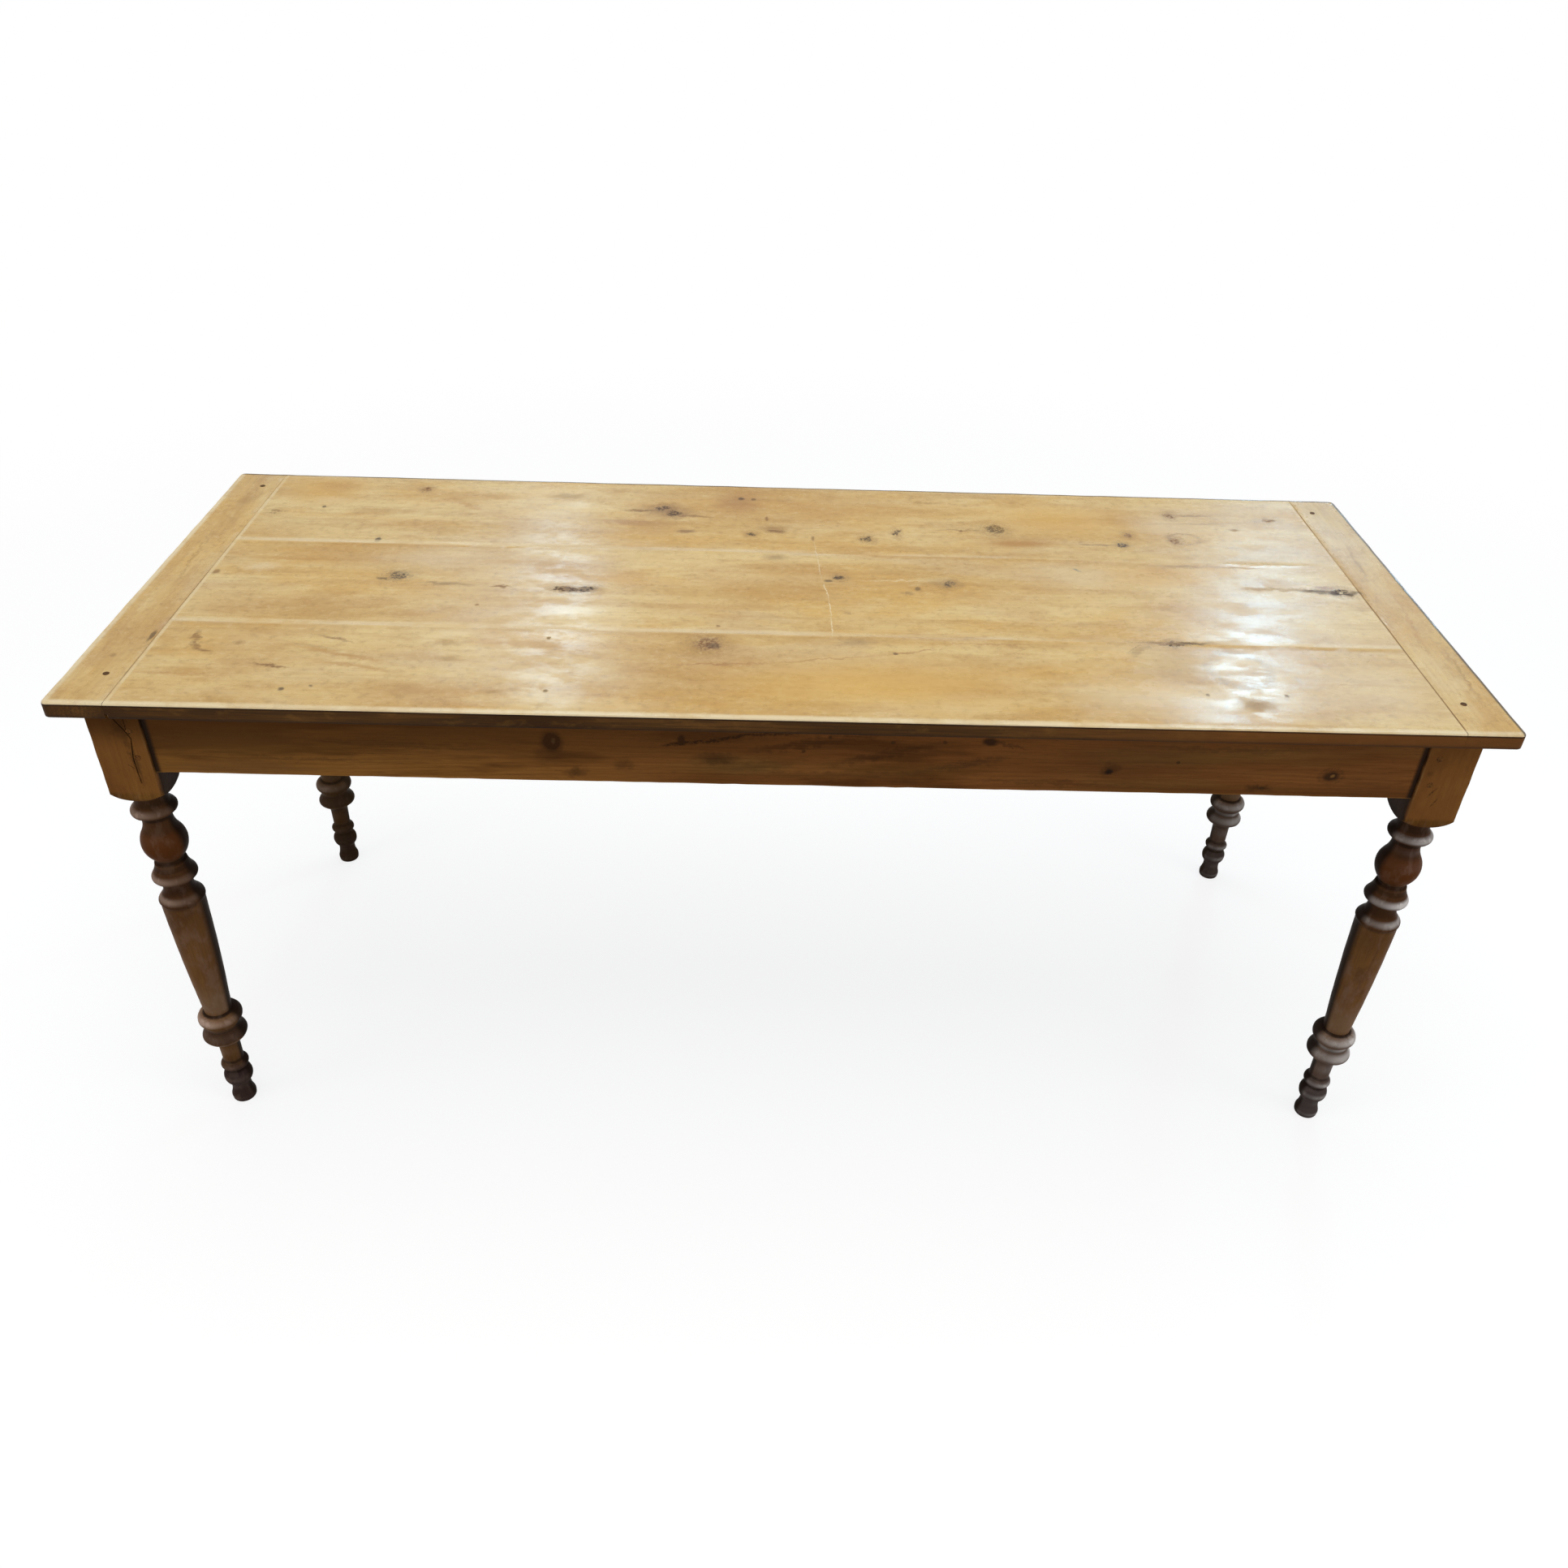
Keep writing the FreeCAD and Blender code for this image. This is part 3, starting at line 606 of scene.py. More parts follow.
def pick(kind, test):
    """Select the faces or edges of the open piece that pass the test, and nothing else."""
    mesh = bpy.context.edit_object.data
    bpy.ops.mesh.select_mode(type=kind)
    bpy.ops.mesh.select_all(action="DESELECT")
    net = bmesh.from_edit_mesh(mesh)
    chosen = [part for part in (net.edges if kind == "EDGE" else net.faces) if test(part)]
    if not chosen:
        raise RuntimeError("nothing to select on " + mesh.name)
    for part in chosen:
        part.select_set(True)
    net.select_flush_mode()
    bmesh.update_edit_mesh(mesh)


def runs(edge, axis):
    """True for an edge that runs along one axis."""
    run = edge.verts[1].co - edge.verts[0].co
    return abs(run[axis]) > 0.999 * run.length


def round_over(test, width, segments):
    """Bevel the edges of the open piece that pass the test."""
    pick("EDGE", test)
    bpy.ops.mesh.bevel(offset=width, segments=segments)


def divide(axis, cuts):
    """Divide the edges of the open piece that run along one axis."""
    pick("EDGE", lambda e: runs(e, axis))
    bpy.ops.mesh.subdivide(number_cuts=cuts)


def slice_at(axis, places):
    """Divide the open piece at right angles to one axis."""
    for place in places:
        point, normal = [0, 0, 0], [0, 0, 0]
        point[axis], normal[axis] = place, 1
        everything()
        bpy.ops.mesh.bisect(plane_co=point, plane_no=normal)


def spread(start, end, step):
    """Even places between two ends, about a step apart and without the ends."""
    count = max(1, round(abs(end - start) / step))
    return [start + (end - start) * index / count for index in range(1, count)]


def pull(test, offset):
    """Extrude the faces of the open piece that pass the test by an offset."""
    pick("FACE", test)
    bpy.ops.mesh.extrude_region_move(TRANSFORM_OT_translate={"value": offset})


def wear(piece, test, grain, depth, seed=0, direction="NORMAL"):
    """Wear away the points of a piece that pass the test, unevenly and never outwards.
    Grain is the size of the hollows, and a seed other than nought moves them about."""
    worn = [point.index for point in piece.data.vertices if test(point.co)]
    if not worn:
        return
    only(piece)
    group = piece.vertex_groups.new(name="worn")
    group.add(worn, 1, "REPLACE")
    texture = bpy.data.textures.new("wear", "CLOUDS")
    texture.noise_scale = grain
    texture.noise_depth = 3
    texture.contrast = 1.4
    modifier = piece.modifiers.new("wear", "DISPLACE")
    modifier.texture = texture
    modifier.texture_coords = "GLOBAL"
    if seed:
        place = bpy.data.objects.new("wear place", None)
        place.location = (seed * 3.7, seed * 1.3, seed * 2.1)
        bpy.context.scene.collection.objects.link(place)
        bpy.context.view_layer.update()
        modifier.texture_coords = "OBJECT"
        modifier.texture_coords_object = place
    modifier.vertex_group = "worn"
    modifier.direction = direction
    modifier.mid_level = 1.1
    modifier.strength = depth
    bpy.ops.object.modifier_apply(modifier="wear")
    if seed:
        bpy.data.objects.remove(place)
    piece.vertex_groups.remove(piece.vertex_groups["worn"])


def cut(piece, tools, operation="DIFFERENCE"):
    """Cut a piece with tools that don't touch each other, and throw the tools away."""
    clear_selection()
    for tool in tools:
        tool.select_set(True)
    bpy.context.view_layer.objects.active = tools[0]
    if len(tools) > 1:
        bpy.ops.object.join()
    tool = bpy.context.view_layer.objects.active
    only(piece)
    modifier = piece.modifiers.new("cut", "BOOLEAN")
    modifier.operation = operation
    modifier.solver = "EXACT"
    modifier.object = tool
    size_before = piece.dimensions.length
    bpy.ops.object.modifier_apply(modifier="cut")
    bpy.data.objects.remove(tool)
    if piece.dimensions.length > size_before + 0.01 * mm or not piece.data.polygons:
        raise RuntimeError("a cut went wrong on " + piece.name)


def drill(start, end):
    """A round cutter for a peg's hole, between two points along one axis."""
    run = Vector(end) - Vector(start)
    return add(bpy.ops.mesh.primitive_cylinder_add, vertices=24, radius=peg_hole_radius, depth=run.length,
               location=Vector(start) + run / 2, rotation=run.to_track_quat("Z", "Y").to_euler())


def finish_piece(piece, coats, node, angle=35):
    """Merge doubles, turn the faces outwards, smooth, give the faces their finishes, and hand the piece over.
    Each coat is a finish and the test for the faces that it covers, over the coats before it."""
    edit(piece)
    everything()
    bpy.ops.mesh.remove_doubles(threshold=0.005 * mm)
    bpy.ops.mesh.normals_make_consistent(inside=False)
    close()
    bpy.ops.object.shade_smooth_by_angle(angle=math.radians(angle))
    piece.data.materials.clear()
    for index, (material, covers) in enumerate(coats):
        piece.data.materials.append(material)
        for face in piece.data.polygons:
            if covers(face.center):
                face.material_index = index
    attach(piece, "root")
    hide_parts(node)


# Finishes


def sum_node(operation, swap=False):
    """A sign of Number: the Math node of an operation on two values, which may be swapped first."""
    return lambda first, second: first.tree.maths(operation, *((second, first) if swap else (first, second)))


class Number:
    """A value among the nodes of a finish. Sums on it add Math nodes."""

    def __init__(self, tree, socket):
        self.tree = tree
        self.socket = socket

    __add__, __radd__ = sum_node("ADD"), sum_node("ADD", True)
    __sub__, __rsub__ = sum_node("SUBTRACT"), sum_node("SUBTRACT", True)
    __mul__, __rmul__ = sum_node("MULTIPLY"), sum_node("MULTIPLY", True)
    __truediv__ = sum_node("DIVIDE")

    def __neg__(self):
        return self * -1

    def __abs__(self):
        return self.tree.maths("ABSOLUTE", self)


class Nodes:
    """The nodes of a material or a world, and the calls that add to them."""

    def __init__(self, owner):
        owner.use_nodes = True
        self.nodes = owner.node_tree.nodes
        self.links = owner.node_tree.links
        self.nodes.clear()

    def add(self, kind, settings=None, inputs=None):
        """Add a node of a kind, with its settings and then the values or links of its inputs."""
        node = self.nodes.new("ShaderNode" + kind)
        for name, value in (settings or {}).items():
            setattr(node, name, value)
        for name, value in (inputs or {}).items():
            self.feed(node, name, value)
        return node

    def feed(self, node, name, value):
        """Link or set one input of a node."""
        value = value.socket if isinstance(value, Number) else value
        if isinstance(value, bpy.types.NodeSocket):
            self.links.new(value, node.inputs[name])
        else:
            node.inputs[name].default_value = value

    def number(self, *place, output=0):
        """Add a node whose output is used as a number."""
        return Number(self, self.add(*place).outputs[output])

    def maths(self, operation, *values):
        """One Math node."""
        return self.number("Math", {"operation": operation}, dict(enumerate(values)))

    def vector(self, operation, *values, output=0):
        """One Vector Math node."""
        return self.number("VectorMath", {"operation": operation}, dict(enumerate(values)), output=output)

    def point(self, x, y, z=0.0):
        """A vector from three numbers."""
        return self.number("CombineXYZ", None, {0: x, 1: y, 2: z})

    def split(self, vector):
        """The three numbers of a vector."""
        return [Number(self, output) for output in self.add("SeparateXYZ", None, {0: vector}).outputs]

    def fade(self, value, start, end, low=0.0, high=1.0):
        """Rise smoothly from low to high as the value goes from start to end."""
        return self.number("MapRange", {"interpolation_type": "SMOOTHSTEP"}, {
            "Value": value, "From Min": start, "From Max": end, "To Min": low, "To Max": high})

    def band(self, value, centre, outer, inner, high=1.0):
        """High within the inner distance of a centre and nothing past the outer one, both in millimetres."""
        return self.fade(abs(value - centre), outer * mm, inner * mm, 0.0, high)

    def noise(self, place, stretch, offset=0.0, detail=2.0, roughness=0.5, output=0):
        """Soft noise. Stretch gives the lumps per metre along each axis."""
        moved = self.vector("MULTIPLY_ADD", place, stretch, (offset, offset * 0.7, offset * 0.3))
        return self.number("TexNoise", None, {
            "Vector": moved, "Scale": 1.0, "Detail": detail, "Roughness": roughness}, output=output)

    def mix(self, share, first, second):
        """Mix two colours."""
        return self.number("Mix", {"data_type": "RGBA"}, {0: share, 6: first, 7: second}, output=2)


def linear(name):
    """One of the table's colours or of the tones, by its name."""
    if name in TONES:
        return (*TONES[name], 1)
    return tuple(getattr(bpy.context.scene.table_colours, name))


class Finish(Nodes):
    """One material, built up in layers of colour."""

    def __init__(self, name, base, roughness=0.5, specular=0.5):
        self.material = bpy.data.materials.new(name)
        super().__init__(self.material)
        self.shader = self.add("BsdfPrincipled", None, {"Roughness": roughness, "Specular IOR Level": specular})
        self.add("OutputMaterial", None, {"Surface": self.shader.outputs[0]})
        self.place = self.add("TexCoord").outputs["Object"]
        self.x, self.y, self.z = self.split(self.place)
        self.colour = linear(base)

    def layer(self, colour, share, *fading):
        """Lay a named colour over those before it, by a share or where a value fades in.
        The fading is where the value starts and ends, and the greatest share."""
        if fading:
            share = self.fade(share, *fading[:2], 0.0, *fading[2:])
        self.colour = self.mix(share, self.colour, linear(colour))

    def layers(self, *rows):
        """Lay several colours, one over the other."""
        for row in rows:
            self.layer(*row)

    def done(self, roughness, height=None):
        """Feed the colour, a roughness and a height in metres to the shader, and give the material."""
        self.feed(self.shader, "Base Color", self.colour)
        self.feed(self.shader, "Roughness", roughness)
        if height is not None:
            bump = self.add("Bump", None, {"Strength": 1.0, "Distance": 1.0, "Height": height})
            self.feed(self.shader, "Normal", bump.outputs[0])
        return self.material


class Wood(Finish):
    """A finish with the grain and the marks of old wood."""

    fields = ()

    def mark(self, flat, marks):
        """Measure how far each place is from each mark, in shares of the mark's size."""
        wobble = self.noise(flat, (85, 85, 85), 11.0, 3.0, 0.65, output=1)
        centred = self.vector("SUBTRACT", wobble, (0.5, 0.5, 0.5))
        warped = self.vector("MULTIPLY_ADD", centred, (0.024, 0.020, 0.0), flat)
        slight = self.vector("MULTIPLY_ADD", centred, (0.006, 0.006, 0.0), flat)
        self.fields = []
        for kind, x, y, long, wide, turn, tone, strength in marks:
            local = self.add("Mapping", {"vector_type": "TEXTURE"}, {
                "Vector": slight if kind in ("scratch", "ring", "spot") else warped,
                "Location": (x * mm, y * mm, 0), "Rotation": (0, 0, math.radians(turn)),
                "Scale": (long * mm, wide * mm, 1)}).outputs[0]
            self.fields.append((kind, x, y, tone, strength, self.vector("LENGTH", local, output=1)))

    def grow(self, order, flat, ring, pith, seed, curl=0.05):
        """Grow the grain of a board: shares of dark ring, fibre, fleck and slow cloud at each place.
        Order gives the axes along, across and through it, and flat those of its marks."""
        axes = dict(zip("XYZ", (self.x, self.y, self.z)))
        along, shift, through = (axes[letter] for letter in order)
        across = shift
        for kind, x, y, tone, strength, distance in self.fields:
            if kind == "knot":
                centre = (y if order[0] == flat[0] else x) * mm
                shift = shift - (across - centre) * self.fade(distance, 3.6, 0.3, 0.0, 0.85)
        self.grain = self.point(along, shift, through)
        drift = self.split(self.noise(self.grain, (1.3, 2.2, 2.2), seed, 1.0, output=1))
        side = shift - pith[0] + (drift[0] - 0.5) * curl
        depth = through - pith[1] + (drift[1] - 0.5) * (curl * 0.6)
        radius = self.maths("SQRT", side * side + depth * depth)
        ripple = self.noise(self.grain, (9, 60, 60), seed + 5, 2.0)
        turns = radius / ring + (ripple - 0.5) * 0.9
        phase = self.maths("FRACT", turns)
        year = self.number("TexWhiteNoise", {"noise_dimensions": "1D"}, {"W": self.maths("FLOOR", turns)})
        self.late = self.fade(phase, 0.15, 0.9) * self.fade(phase, 1.0, 0.93) * (0.35 + year * 0.65)
        self.fibre = self.noise(self.grain, (16, 520, 520), seed + 9, 3.0, 0.6)
        self.fleck = self.fade(self.noise(self.grain, (75, 1500, 1500), seed + 13, 1.0), 0.62, 0.74)
        self.cloud = self.noise(self.grain, (2.6, 11, 11), seed + 17, 2.0)

    def paint_marks(self):
        """Paint the marks of a board over its colour, and say where they leave it dull."""
        speckle = self.noise(self.place, (260, 260, 260), 19.0, 3.0, 0.7)
        patchy = self.fade(speckle, 0.40, 0.58, 0.35, 1.2)
        dull = 0.0
        for kind, x, y, tone, strength, distance in self.fields:
            if kind == "knot":
                self.layer("brown", self.fade(distance, 3.0, 0.9, 0.0, 0.45 * strength) * patchy)
            reach = abs(distance - 1) if kind == "ring" else distance
            share = self.fade(reach, *MARK_FADES[kind], 0.0, strength)
            if kind in ("knot", "ring", "scratch"):
                share = share * patchy
            elif kind == "streak":
                share = share * self.fade(self.fibre, 0.3, 0.55, 0.5, 1.1)
            if tone in ("dark", "brown", "purple", "grey") and kind != "ring":
                dull = self.maths("MAXIMUM", dull, share)
            self.layer(tone, share)
        return dull


def marks_near(marks, low, high):
    """The marks that reach into an area, with its corners in metres."""
    kept = []
    for mark in marks:
        place, (long, wide, turn) = mark[1:3], mark[3:6]
        lean = abs(math.sin(math.radians(turn)))
        reach = (3 * max(long * (1 - lean), wide, long * (lean < 0.5)), 3 * max(wide, long * lean))
        if all(low[i] / mm - reach[i] < place[i] < high[i] / mm + reach[i] for i in (0, 1)):
            kept.append(mark)
    return kept


def top_wood(name, order, low, high, seed, ring, pith, seams):
    """Old waxed wood of one board's upper face, with its own grain, marks and worn joints, painted shade beside the
    long joints, and a pale rim that is partly painted highlight.
    """
    wood = Wood(name, "honey_pale")
    x, y, fade, band = wood.x, wood.y, wood.fade, wood.band
    wood.mark(wood.point(x, y), marks_near(TOP_MARKS, low, high))
    wood.grow(order, "XY", ring, pith, seed)
    patina = wood.noise(wood.place, (4, 7, 7), seed + 21, 3.0, 0.6)
    warmth = wood.noise(wood.grain, (3.5, 9, 9), seed + 23, 4.0, 0.6)
    figure = wood.noise(wood.grain, (4, 24, 24), seed + 25, 5.0, 0.65)
    mottle = wood.noise(wood.grain, (13, 34, 34), seed + 27, 5.0, 0.70)
    speck = wood.noise(wood.place, (90, 100, 100), seed + 29, 4.0, 0.7)
    wood.layers(
        ("honey", wood.cloud, 0.32, 0.68),
        ("gold", warmth, 0.49, 0.64, 0.55),
        ("ash", warmth, 0.47, 0.34, 0.50),
        ("honey_deep", figure, 0.48, 0.66, 0.38),
        ("honey_deep", mottle, 0.50, 0.68, 0.36),
        ("honey_pale", mottle, 0.48, 0.32, 0.60),
        ("honey_deep", wood.late * 0.16),
        ("honey_deep", wood.fibre, 0.44, 0.70, 0.14),
        ("orange", patina, 0.47, 0.66, 0.34),
        ("brown", speck, 0.50, 0.70, 0.26),
        ("rubbed", speck, 0.46, 0.30, 0.32),
        ("brown", wood.fleck * 0.05))
    dull = wood.paint_marks()
    broken = fade(wood.noise(wood.place, (22, 22, 22), seed + 31, 3.0, 0.65), 0.34, 0.6, 0.3, 1.0)
    for letter, seam, pale_side in seams:
        off = ((x if letter == "X" else y) - seam) * pale_side
        right = back = seam > 0
        if letter == "Y":
            plain = fade(x, -0.45, 0.15, 1.0, 0.15) if back else wood.maths(
                "MAXIMUM", fade(x, 0.0, 0.14, 1.0, 0.12), fade(x, 0.54, 0.66))
            wood.layer("rubbed", band(off, 4 * mm, 10, 3) * fade(broken, 0.3, 1.0, 0.5, 1.0) * plain * 0.62)
            # painted shade: a darker band along the back edge of the plank in front of each long joint
            wood.layer("honey_deep", band(off, -6 * mm, 8, 2) * broken * plain * 0.30)
        else:
            pale = band(off, 2.5 * mm, 4.5, 1.5) * fade(broken, 0.3, 1.0, 0.6, 1.0)
            wood.layer("rubbed", pale * (0.2 if right else 0.8))
            line = band(off, 0, 1.6, 0.7) * fade(y, 0.25, -0.2, 0.4, 0.9)
            wood.layer("brown", line * (0.85 if right else 0.4))
            dull = wood.maths("MAXIMUM", dull, band(off, 0, 2, 1))
    # pale rim along the front and left edges: partly wear, partly a painted highlight on the arris
    rim = wood.maths("MINIMUM", x + half_length, y + half_width)
    wood.layer("pale", fade(rim, 12 * mm, 6 * mm) * fade(broken, 0.3, 1.0, 0.6, 1.0) * 0.8)
    wood.layer("dark", wood.maths("MINIMUM", half_length - x, half_width - y), 7 * mm, 4 * mm, 0.85)
    rub = fade(wood.noise(wood.grain, (18, 34, 34), seed + 37, 5.0, 0.65), 0.4, 0.64)
    swell = wood.noise(wood.place, (14, 22, 22), seed + 41, 2.0)
    ripple = wood.noise(wood.place, (42, 64, 64), seed + 43, 3.0, 0.6)
    ridge = wood.noise(wood.grain, (7, 85, 85), seed + 45, 2.0)
    return wood.done(0.14 + patina * 0.08 + mottle * 0.08 + rub * 0.14 + dull * 0.4,
                     swell * (0.13 * mm) + ripple * (0.10 * mm) + ridge * (0.06 * mm) + wood.fibre * (0.02 * mm))


def edge_wood(name, order, seed):
    """Edge of the top, much darker than its face, with darker bands along its top and bottom."""
    wood = Wood(name, "edge_brown", specular=0.07)
    wood.grow(order, "XY", 5 * mm, (0.2, 0.6), seed)
    nicks = wood.fade(wood.noise(wood.place, (30, 60, 60), seed + 5, 3.0, 0.65), 0.52, 0.72, 0.0, 0.15)
    wood.layers(
        ("brown", wood.cloud, 0.35, 0.65, 0.6),
        ("dark", wood.late * 0.4),
        ("dark", wood.fibre, 0.38, 0.66, 0.6),
        ("orange", nicks),
        ("edge_right", wood.x, 0.15, 0.7, 0.7),
        # darker bands along the top and bottom of the edge face
        ("grime", wood.z, table_height - 5.5 * mm, table_height - 4 * mm, 0.75),
        ("grime", wood.z, underside + 6 * mm, underside + 1 * mm, 0.6))
    return wood.done(0.46 + wood.fibre * 0.2, wood.fibre * (0.10 * mm) + nicks * (0.10 * mm))


def joint_dirt(name):
    """Dull dirt on the small edges along the joints of the breadboard ends."""
    dirt = Finish(name, "dark", specular=0.03)
    clump = dirt.noise(dirt.place, (300, 120, 300), 4.0, 3.0)
    dirt.layer("brown", clump, 0.35, 0.6)
    return dirt.done(0.6 + clump * 0.3)


def bare_wood(name, order, seed):
    """Unwaxed wood of the pieces under the top."""
    wood = Wood(name, "bare", 0.75, 0.3)
    wood.grow(order, "XY", 3.2 * mm, (0.05, 0.6), seed, 0.03)
    wood.layer("bare_deep", wood.cloud, 0.3, 0.7, 0.6)
    wood.layer("bare_deep", wood.late * 0.5)
    wood.layer("bare_deep", wood.fibre, 0.4, 0.7, 0.4)
    wood.layer("brown", wood.fleck * 0.5)
    return wood.done(0.66 + wood.fibre * 0.2, wood.fibre * (0.12 * mm) + wood.late * (0.05 * mm))


def apron_wood(name, order, seed, marks, pith):
    """Waxed wood of an apron's outer face, with painted shade under the top, at its ends by the legs and in gradients
    down its face.
    """
    wood = Wood(name, "apron_brown", specular=0.04)
    along, reach = (wood.x, leg_inner_x) if order[0] == "X" else (wood.y, leg_inner_y)
    z, fade = wood.z, wood.fade
    wood.mark(wood.point(along, z), marks)
    wood.grow(order, order[:2], 4.2 * mm, pith, seed)
    figure = wood.noise(wood.grain, (2.4, 17, 17), seed + 23, 4.0, 0.6)
    wood.layers(
        ("apron_warm", fade(along, -0.6, 0.1) * 0.8),
        ("apron_deep", wood.cloud, 0.4, 0.7, 0.5),
        ("apron_deep", figure, 0.48, 0.62, 0.75),
        ("amber", figure, 0.45, 0.30, 0.55),
        ("apron_deep", wood.late * 0.22),
        ("apron_deep", wood.fibre, 0.42, 0.66, 0.25),
        ("dark", wood.fleck * 0.4))
    wood.paint_marks()
    wood.layers(
        # painted shade: darker towards the top of the face, more on the left
        ("apron_deep", fade(z, apron_bottom + 24 * mm, underside - 42 * mm) * fade(along, -0.45, 0.5, 0.58, 0.20)),
        # painted shade: darker towards the bottom on the right
        ("apron_deep", fade(z, apron_bottom + 24 * mm, apron_bottom + 6 * mm) * fade(along, 0.1, 0.6, 0.0, 0.45)),
        # painted shade right under the top
        ("grime", z, underside - 22 * mm, underside - 2 * mm, 0.6),
        # painted shade at the ends where the apron meets the legs
        ("grime", abs(along), reach - 9 * mm, reach - 3 * mm, 0.95),
        ("orange", z, apron_bottom + 3 * mm, apron_bottom + 0.5 * mm, 0.35))
    swell = wood.noise(wood.place, (24, 60, 60), seed + 41, 2.0)
    return wood.done(0.44 + wood.fibre * 0.14,
                     wood.fibre * (0.10 * mm) + swell * (0.35 * mm) - wood.fleck * (0.04 * mm))


def leg_wood(name, corner, seed, marks):
    """Waxed wood of one turned leg: square head, worn rings with painted highlights, grimy grooves, dark foot, and
    painted shade under the top, on the inner sides and on the back legs.
    """
    wood = Wood(name, "leg_brown", specular=0.015)
    middle_x, middle_y = corner[0] * leg_x, corner[1] * leg_y
    x, y, z, fade, band = wood.x - middle_x, wood.y - middle_y, wood.z, wood.fade, wood.band
    right = corner[0] > 0
    side = "_right" if right else "_left"
    wood.mark(wood.point(x, z), marks)
    wood.grow("ZXY", "XZ", 3.6 * mm, (middle_x + 0.05, middle_y + 0.09), seed, 0.03)
    blotch = wood.noise(wood.place, (26, 26, 14), seed + 47, 4.0, 0.65)
    rough = wood.noise(wood.place, (60, 60, 26), seed + 51, 3.0, 0.65)
    scuff = fade(rough, 0.5, 0.66)
    turned = fade(z, block_bottom, block_bottom - 8 * mm)
    taper = band(z, taper_middle, 112, 96)
    foot = fade(z, 0.105, 0.06)
    wood.layers(
        ("leg_deep", wood.cloud, 0.35, 0.65, 0.4),
        ("leg_deep", blotch, 0.46, 0.64, 0.6),
        ("amber", blotch, 0.44, 0.30, 0.4),
        ("leg_deep", wood.late * 0.25),
        ("leg_deep", wood.fibre, 0.42, 0.66, 0.3),
        ("dark", wood.fleck * 0.4),
        ("leg_head", (1 - turned) * 0.45),
        ("leg_rings", band(z, turned_rings, 102, 92) * 0.75),
        ("leg_bulb", band(z, bulb, 26, 16) * 0.85),
        ("taper", taper * fade(rough, 0.4, 0.62, 0.25, 0.7)),
        ("leg_deep", taper * fade(z, 0.33, 0.39, 0.0, 0.35)),
        ("taper_pale", taper * fade(z, 0.27, 0.21, 0.0, 0.55)),
        ("leg_low" + side, fade(z, 0.20, 0.17) * (0.55 if right else 0.3)),
        ("foot" + side, foot * 0.85),
        ("lower_ring", band(z, lower_ring, 11, 7, 0.1 if right else 0.6)))
    inward = x * -corner[0]
    radius = wood.maths("MAXIMUM", wood.maths("SQRT", x * x + y * y), 1 * mm)
    # painted highlight: the ring bands grow stronger on the side of the leg that faces out
    outward_lit = fade(-inward / radius, -0.7, 0.6, 0.35, 1.1)
    for height, half, strength in GROOVE_GRIME:
        wood.layer("grime", band(z, height * mm, half, half * 0.4, strength))
    # Bands round the rings: partly wear, partly painted highlight on their upper shoulders
    for height, half, *strengths in RING_WEAR_AND_HIGHLIGHTS:
        worn = band(z, height * mm, half, half * 0.08, strengths[right]) * outward_lit
        wood.layer("scuffed" if right else "ring_pale", worn * (0.62 + scuff * 0.38))
    wood.layer("ring_pale", turned * scuff * 0.06)
    wood.paint_marks()
    near_arris = fade(wood.maths("MAXIMUM", leg_size / 2 - abs(x), leg_size / 2 - abs(y)), 4.5 * mm, 1.2 * mm)
    arris = near_arris * fade(z, block_bottom - 10 * mm, block_bottom)
    # painted shade on the sides of the turned part that face in and to the back, and on the inner faces of the head
    away = fade((inward + y) * 0.7 / radius, 0.2, 0.6, 0.0, 0.95) * turned
    painted_inner_shade = wood.maths("MAXIMUM", away, fade(inward, 32.6 * mm, 33.4 * mm, 0.0, 0.92))
    wood.layers(
        ("leg_arris", arris * (0.2 + scuff * 0.5)),
        # painted shade: the upper part of the head darker under the top, far more on the left legs
        ("leg_deep", z, block_bottom + 60 * mm, underside - 18 * mm, 0.25 if right else 0.8),
        # painted shade right under the top
        ("grime", z, underside - 16 * mm, underside - 1 * mm, 0.6),
        # painted shade on the inner sides
        ("grime", painted_inner_shade),
        # painted shade: the back legs darker, the back left one most
        ("dark", 0.0 if corner[1] < 0 else 0.35 if right else 0.7))
    return wood.done(0.36 + wood.fibre * 0.14 + scuff * 0.14 + foot * 0.1,
                     wood.fibre * (0.10 * mm) + rough * (0.5 * mm) - wood.fleck * (0.04 * mm))


def peg_wood(name, base, specular):
    """End grain of a peg, darkened by wax and dirt."""
    peg = Finish(name, base, specular=specular)
    pores = peg.noise(peg.place, (900, 900, 900), 3.0, 2.0, 0.6)
    peg.layer("grime", pores, 0.42, 0.62)
    peg.layer("brown", peg.noise(peg.place, (160, 160, 160), 7.0, 2.0), 0.4, 0.7, 0.5)
    return peg.done(0.45 + pores * 0.25, pores * (0.15 * mm))


def screw_steel(name):
    """Old dull steel with a little rust."""
    steel = Finish(name, "steel", roughness=0.45)
    steel.shader.inputs["Metallic"].default_value = 1.0
    rust = steel.fade(steel.noise(steel.place, (420, 420, 420), 2.0, 3.0, 0.65), 0.45, 0.62)
    steel.layer("rust", rust)
    steel.feed(steel.shader, "Metallic", 1 - rust * 0.9)
    return steel.done(0.38 + rust * 0.45, rust * (0.05 * mm))


# Pieces


